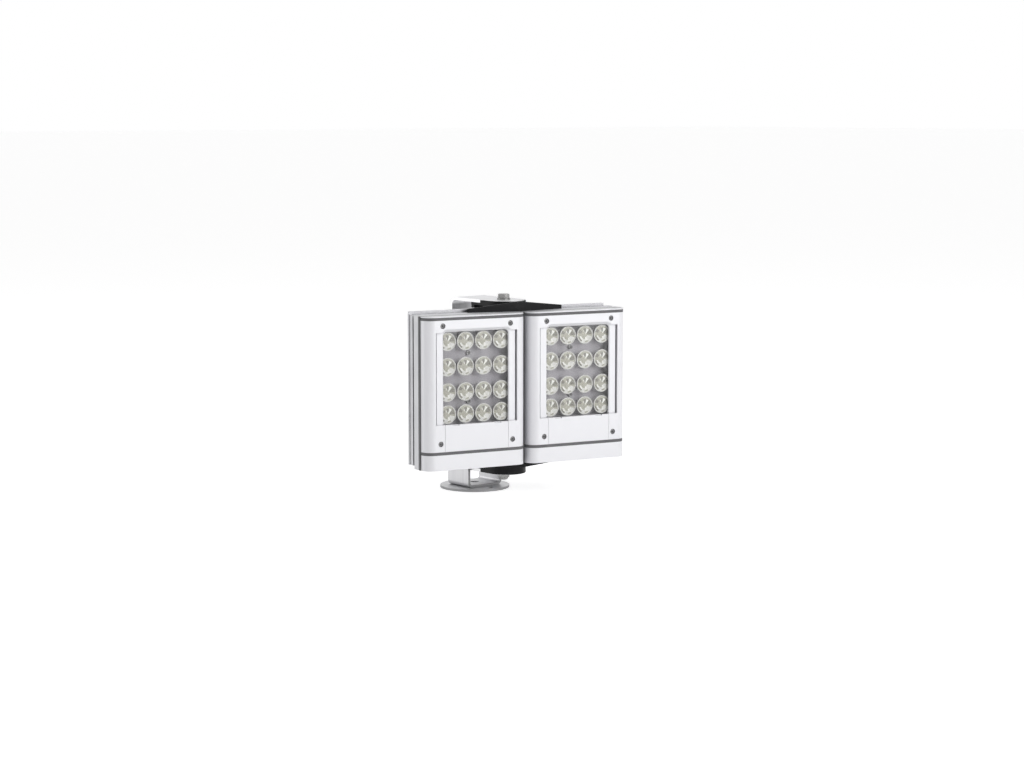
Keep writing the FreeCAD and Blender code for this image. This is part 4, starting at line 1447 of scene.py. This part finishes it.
@dataclass(frozen=True)
class Optic:
    """One collimator lens: cone, round rim and a dished, many-sided face."""

    radius: float = 10.9
    foot: float = 6.4
    height: float = 10.0
    rim: float = 1.5
    lip: float = 1.0
    dish: float = 0.8
    dish_share: float = 0.35
    middle_drop: float = 0.15
    relief: float = 0.28
    sectors: int = 24
    shares: tuple[float, ...] = (0.87, 0.7, 0.5, 0.26)
    # Painted highlights and painted shade: patches at set angles stand in for the glints and dark parts that
    # light gives the clear lens.
    wedges: tuple[Wedge, ...] = (
        Wedge(45.0, 75.0, 0.1, 0.62, FINISHES.lens_painted_highlight),
        Wedge(0.0, 45.0, 0.26, 0.9, FINISHES.lens_painted_shade),
        Wedge(75.0, 105.0, 0.3, 0.72, FINISHES.lens_painted_shade),
        Wedge(135.0, 165.0, 0.4, 0.8, FINISHES.lens_painted_shade),
        Wedge(195.0, 240.0, 0.5, 0.72, FINISHES.lens_painted_highlight),
        Wedge(195.0, 240.0, 0.72, 0.9, FINISHES.lens_painted_shade),
        Wedge(270.0, 300.0, 0.2, 0.75, FINISHES.lens_painted_highlight),
        Wedge(300.0, 345.0, 0.3, 0.9, FINISHES.lens_rim_and_highlight),
        Wedge(240.0, 270.0, 0.6, 0.9, FINISHES.lens_rim_and_highlight),
        Wedge(105.0, 120.0, 0.2, 0.6, FINISHES.lens_rim_and_highlight),
    )

    def finish_at(self, angle: float, share: float) -> Finish:
        """Give the finish of the lens face at a point.

        Args:
            angle: Degrees from the right, towards the top.
            share: Distance from the middle as a share of the lens's radius.

        Returns:
            The finish of the patch there.
        """
        for wedge in self.wedges:
            if wedge.covers(angle, share):
                return wedge.finish
        return FINISHES.lens_body

    def add(self, form: Form, frame: Frame) -> None:
        """Add the lens to a form.

        Args:
            form: The form that takes it.
            frame: Centre of its foot on the board, with up pointing at the window.
        """
        radius, height, rim = self.radius, self.height, self.height - self.rim
        form.turned(frame, [
            Ring(self.foot, 0.0), Ring(self.foot + 0.8, 0.6), Ring(radius - 0.9, rim - 0.4),
            Ring(radius - 0.1, rim), Ring(radius, rim + 0.2), Ring(radius, height - 0.25),
            Ring(radius - 0.25, height), Ring(radius - self.lip, height),
            Ring(radius - self.lip - 0.3, height - self.dish),
        ], FINISHES.lens_rim_and_highlight, 48)
        self.add_face(form, frame)

    def add_face(self, form: Form, frame: Frame) -> None:
        """Add the dished face in its many facets.

        Args:
            form: The form that takes it.
            frame: Centre of the lens's foot, with up pointing at the window.
        """
        step = 360.0 / self.sectors
        rings = []
        for number, share in enumerate(self.shares):
            ring = []
            for sector in range(self.sectors):
                angle = math.radians(sector * step)
                lift = self.relief if (sector + number) % 2 else -self.relief
                drop = self.dish * (1.0 - self.dish_share * number)
                level = self.height - drop + (lift * share if number else 0.0)
                reach = self.radius * share
                ring.append(frame.at(reach * math.cos(angle), reach * math.sin(angle), level + 0.03))
            rings.append(form.loop(ring))
        rings.append(form.loop([frame.at(0.0, 0.0, self.height - self.middle_drop)] * self.sectors))
        edges = (*self.shares, 0.0)
        for number, (outer, inner) in enumerate(zip(rings, rings[1:])):
            middle = (edges[number] + edges[number + 1]) / 2.0
            for sector in range(self.sectors):
                after = (sector + 1) % self.sectors
                corners = [outer[sector], outer[after], inner[after], inner[sector]]
                if inner is rings[-1]:
                    corners.pop()
                form.face(corners, self.finish_at((sector + 0.5) * step, middle))


@dataclass(frozen=True)
class Gland:
    """Cable gland: hexagon foot, threaded neck and ribbed dome nut."""

    flats: float = 19.0
    foot: float = 5.0
    nut_flats: float = 17.0
    nut_start: float = 5.3
    nut_length: float = 10.5
    bore: float = 3.2
    stud: float = 7.9
    stud_length: float = 3.0
    neck: float = 6.5
    neck_length: float = 2.0
    grip: Ribs = Ribs(18, 0.05)

    def add_body(self, form: Form, frame: Frame) -> None:
        """Add the stud, the foot and the neck.

        Args:
            form: The form that takes them.
            frame: Centre of the foot's seat, with up pointing out of the housing.
        """
        half, tip = self.flats / 2.0, self.foot + self.neck_length
        form.tube(frame, [
            Ring(self.bore, -self.stud_length, 0.0), Ring(self.stud, -self.stud_length, 0.0),
            Ring(self.stud, 0.0, 0.0), Ring(half * 0.97, 0.0, 0.0), Ring(half, 0.5),
            Ring(half, self.foot - 0.6), Ring(half * 0.96, self.foot, 0.0), Ring(self.neck, self.foot, 0.0),
            Ring(self.neck, tip, 0.0), Ring(self.bore, tip, 0.0),
        ], FINISHES.gland, 48, hexed)

    def add_nut(self, form: Form, frame: Frame) -> None:
        """Add the dome nut.

        Args:
            form: The form that takes it.
            frame: Centre of the foot's seat, with up pointing out of the housing.
        """
        half = self.nut_flats / 2.0
        base, end = self.nut_start, self.nut_start + self.nut_length
        form.tube(frame, [
            Ring(self.neck - 0.1, base, 0.0), Ring(half * 0.97, base, 0.0),
            Ring(half * 1.02, base + 0.6), Ring(half * 1.02, base + 5.6), Ring(half * 0.95, base + 6.6, 0.3),
            Ring(half * 0.82, end - 1.6, 0.0), Ring(half * 0.62, end - 0.2, 0.0),
            Ring(self.bore + 0.6, end, 0.0), Ring(self.bore, end - 0.5, 0.0), Ring(self.bore, base, 0.0),
        ], FINISHES.gland, 72, self.grip)


@dataclass
class Head(TurnedGroup):
    """One lamp head: housing, cover, window and what shows behind it."""

    side: Side = Side.LEFT
    pitch: float = 136.5
    middle: float = 133.5
    half_height: float = 90.0
    lens_pitch: float = 23.4
    lens_columns: tuple[float, ...] = (-1.5, -0.5, 0.5, 1.5)
    lens_rows: tuple[float, ...] = (60.0, 30.2, 0.6, -25.4)
    board_front: float = 2.4
    board_screws: tuple[Point, ...] = ((-4.0, 45.0), (-4.0, -12.0))
    track_reach: float = 47.0
    track_width: float = 2.6
    track_rise: float = 0.12
    pad_bore: float = 3.1
    pad_radius: float = 4.4
    screw_seat: float = -10.3
    upper_screws: Point = (44.0, 79.0)
    lower_screws: Point = (47.0, -58.7)
    cap_screws: Point = (53.0, -6.8)
    cap_seat: float = -86.6
    gland_seat: float = 33.6
    gland_level: float = -65.0
    crest_front: float = 29.0
    crest_back: float = 33.4
    crest_rise: float = 3.6
    crest_sink: float = 0.5
    crest_corner: float = 1.2
    crest_chamfer: float = 0.4
    crest_inner: float = 10.0
    crest_left: float = -67.2
    crest_right: float = 58.0
    optic: Optic = Optic()
    screw: SocketScrew = SocketScrew(2.75, 2.4, 2.5, 1.5, 0.3, 24)
    gland: Gland = Gland()

    @property
    def sign(self) -> float:
        """Give -1 for the left head and 1 for the right one."""
        return -1.0 if self.side is Side.LEFT else 1.0

    @property
    def home(self) -> Frame:
        """Give the frame in the middle of the head's height at the cover's back edge."""
        return self.frame(self.pitch / 2.0 * self.sign, self.middle)

    def own(self, *pieces: str) -> list[str]:
        """Give this head's node names for the given pieces."""
        return [f"{self.side.value}_{piece}" for piece in pieces]

    def node(self, piece: str) -> bpy.types.Object:
        """Give one of this head's nodes."""
        return self.nodes[f"{self.side.value}_{piece}"]

    def form(self, name: str) -> Form:
        """Start a form of this head."""
        return Form(f"{self.side.value}_{name}", "heads")

    def build_optics(self) -> None:
        """Build the sixteen lenses."""
        form = self.form("lens_optics")
        for row in self.lens_rows:
            for column in self.lens_columns:
                place = self.home.moved(self.lens_pitch * column, self.board_front, row)
                self.optic.add(form, place.facing(Way.FRONT))
        form.build(self.node("lenses"), slot="lens", sharp=9.0)

    def build_tracks(self) -> None:
        """Build the board's raised tracks: one band for each row, joined at alternate ends."""
        form = self.form("board_tracks")
        face = self.home.moved(0.0, self.board_front, 0.0).facing(Way.FRONT)
        half, reach = self.track_width / 2.0, self.track_reach
        for row in self.lens_rows:
            band = rectangle(-reach, reach, row - half, row + half)
            form.prism(face, band, 0.0, self.track_rise, FINISHES.track)
        for number, (upper, lower) in enumerate(zip(self.lens_rows, self.lens_rows[1:])):
            centre = reach if number % 2 else -reach
            link = rectangle(centre - half, centre + half, lower, upper)
            form.prism(face, link, 0.0, self.track_rise, FINISHES.track)
        profile = [
            Ring(self.pad_bore, 0.0), Ring(self.pad_radius, 0.0),
            Ring(self.pad_radius, self.track_rise), Ring(self.pad_bore, self.track_rise),
        ]
        for x, z in self.board_screws:
            form.tube(face.moved(x, z, 0.0), profile, FINISHES.track, 24)
        form.build(slot="board")

    def build_screws(self) -> None:
        """Build the socket screws of the cover and of the bottom cap."""
        form = self.form("cover_screws_detail")
        for reach, level in (self.upper_screws, self.lower_screws):
            for side in (-1.0, 1.0):
                self.screw.add(form, self.home.moved(reach * side, self.screw_seat, level).facing(Way.FRONT))
        form.build(self.node("cover_screws"), slot="fastener")
        form = self.form("cap_screws_detail")
        reach, back = self.cap_screws
        for side in (-1.0, 1.0):
            self.screw.add(form, self.home.moved(reach * side, back, self.cap_seat).facing(Way.DOWN))
        form.build(self.node("cap_screws"), slot="fastener")

    def build_gland(self) -> None:
        """Build the empty cable gland in the housing's back."""
        place = self.home.moved(0.0, self.gland_seat, self.gland_level).facing(Way.BACK)
        form = self.form("gland_body_detail")
        self.gland.add_body(form, place)
        form.build(self.node("gland_body"), slot="gland")
        form = self.form("gland_nut_detail")
        self.gland.add_nut(form, place)
        form.build(self.node("gland_nut"), slot="gland")

    def build_crest(self) -> None:
        """Build the housing's raised rear edge beside the wing plate."""
        form = self.form("rear_crest")
        inner = -self.crest_inner * self.sign
        outer = self.crest_left if self.side is Side.LEFT else self.crest_right
        front, back = self.crest_front, self.crest_back
        corner, inset = self.crest_corner, self.sign * self.crest_corner
        outline = [
            (inner, front), (outer, front), (outer, back - corner),
            (outer - inset, back), (inner + inset, back), (inner, back - corner),
        ]
        low, high = self.half_height - self.crest_sink, self.half_height + self.crest_rise
        form.prism(self.home, outline, low, high, FINISHES.casting, self.crest_chamfer)
        form.build(slot="coated_alloy")

    def dress(self) -> None:
        """Finish the housing and build what shows behind the window."""
        self.coat(FINISHES.cover, *self.own("front_cover", "top_cap", "bottom_cap", "lower_panel"))
        self.coat(FINISHES.casting, *self.own("heat_sink"))
        self.coat(FINISHES.seal, *self.own("seal_frame", "top_seal", "lower_seal"))
        self.coat(FINISHES.screw, *self.own("board_screws"))
        self.coat(FINISHES.board, *self.own("led_board", "wiring_board"))
        self.coat(FINISHES.emitter, *self.own("led_chips"))
        self.coat(FINISHES.pane, *self.own("window"))
        self.build_optics()
        self.build_tracks()
        self.build_screws()
        self.build_gland()
        self.build_crest()


def hang(
    name: str, data: bpy.types.ID, aim: Triple, azimuth: float, elevation: float, distance: float,
) -> bpy.types.Object:
    """Put a lamp or camera round a point so that it looks at the point.

    Args:
        name: The new object's name.
        data: The lamp or the camera.
        aim: The point in metres.
        azimuth: Degrees from the front, positive to the right.
        elevation: Degrees above the floor.
        distance: Metres from the point.

    Returns:
        The new object.
    """
    holder = bpy.data.objects.new(name, data)
    turn, lift = math.radians(azimuth), math.radians(elevation)
    away = Vector((math.sin(turn) * math.cos(lift), -math.cos(turn) * math.cos(lift), math.sin(lift)))
    holder.location = Vector(aim) + away * distance
    holder.rotation_mode = "QUATERNION"
    holder.rotation_quaternion = away.to_track_quat("Z", "Y")
    bpy.context.scene.collection.objects.link(holder)
    return holder


@dataclass
class SoftBox:
    """A flat lamp that looks at a point of the flood light."""

    name: str
    azimuth: float
    elevation: float
    distance: float
    width: float
    height: float
    watts: float
    aim: Triple = (0.0, -0.06, 0.12)

    def build(self) -> None:
        """Hang the lamp in the scene."""
        lamp = bpy.data.lights.new(self.name, "AREA")
        lamp.shape = "RECTANGLE"
        lamp.size, lamp.size_y = self.width, self.height
        lamp.energy = self.watts
        hang(self.name, lamp, self.aim, self.azimuth, self.elevation, self.distance)


@dataclass
class Studio:
    """Floor, lamps, sky and camera."""

    floor_half: float = 40.0
    sky_level: float = 0.34
    azimuth: float = -39.76
    elevation: float = 6.89
    distance: float = 2.7
    focal_pixels: float = 2278.9
    picture_width: float = 1024.0
    sensor: float = 36.0
    nearest: float = 0.05
    farthest: float = 200.0
    target: Triple = (-0.02351, -0.1, 0.13815)
    lamps: tuple[SoftBox, ...] = (
        SoftBox("front_lamp", 14.0, 20.0, 2.4, 1.6, 1.6, 28.0),
        SoftBox("left_lamp", -128.0, 18.0, 2.4, 1.2, 1.8, 13.0),
        SoftBox("overhead_lamp", -20.0, 80.0, 2.4, 2.0, 2.0, 4.0),
    )

    def lay_floor(self) -> None:
        """Lay the pale floor under the foot."""
        mesh = bpy.data.meshes.new("studio_floor")
        half = self.floor_half
        square = [(x, y, 0.0) for x, y in rectangle(-half, half, -half, half)]
        mesh.from_pydata(square, [], [(0, 1, 2, 3)])
        mesh.materials.append(FINISHES.floor.material())
        floor = bpy.data.objects.new("studio_floor", mesh)
        bpy.context.scene.collection.objects.link(floor)
        floor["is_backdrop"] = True

    def light_sky(self) -> None:
        """Make the sky white where it is seen and plain gray where it lights."""
        sky = bpy.data.worlds.new("studio_sky")
        bpy.context.scene.world = sky
        sky.use_nodes = True
        graph = Graph(sky.node_tree)
        level = graph.seen() * (1.0 - self.sky_level) + self.sky_level
        light = graph.node("ShaderNodeBackground", {}, {"Color": (1.0, 1.0, 1.0), "Strength": level})
        graph.node("ShaderNodeOutputWorld", {}, {"Surface": light})

    def set_camera(self) -> None:
        """Put the camera where the photograph was taken from."""
        lens = bpy.data.cameras.new("studio_camera")
        lens.sensor_width = self.sensor
        lens.lens = self.focal_pixels * self.sensor / self.picture_width
        lens.clip_start, lens.clip_end = self.nearest, self.farthest
        camera = hang("studio_camera", lens, self.target, self.azimuth, self.elevation, self.distance)
        bpy.context.scene.camera = camera

    def build(self) -> None:
        """Set up the whole studio."""
        self.lay_floor()
        self.light_sky()
        self.set_camera()
        for lamp in self.lamps:
            lamp.build()
        bpy.context.scene.view_settings.view_transform = "Standard"


def corners(box: tuple[Vector, Vector]) -> list[list[float]]:
    """Give a box's two corners as plain lists of numbers."""
    return [list(corner) for corner in box]


def main() -> None:
    """Load the frame, dress it and light it, taking its bounds after loading and at the end."""
    logging.basicConfig(level=logging.INFO, format="%(name)s %(message)s")
    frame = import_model()
    loaded = corners(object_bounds())
    nodes = frame["nodes"]
    groups: list[SubAssembly] = [Foot(nodes), Bracket(nodes), Wings(nodes)]
    groups += [Head(nodes, side=side) for side in Side]
    for group in groups:
        group.dress()
        log.info("dressed %s", type(group).__name__)
    Studio().build()
    log.info("studio ready")
    {"after_load": loaded, "before_finish": corners(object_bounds())}


if __name__ == "__main__":
    main()
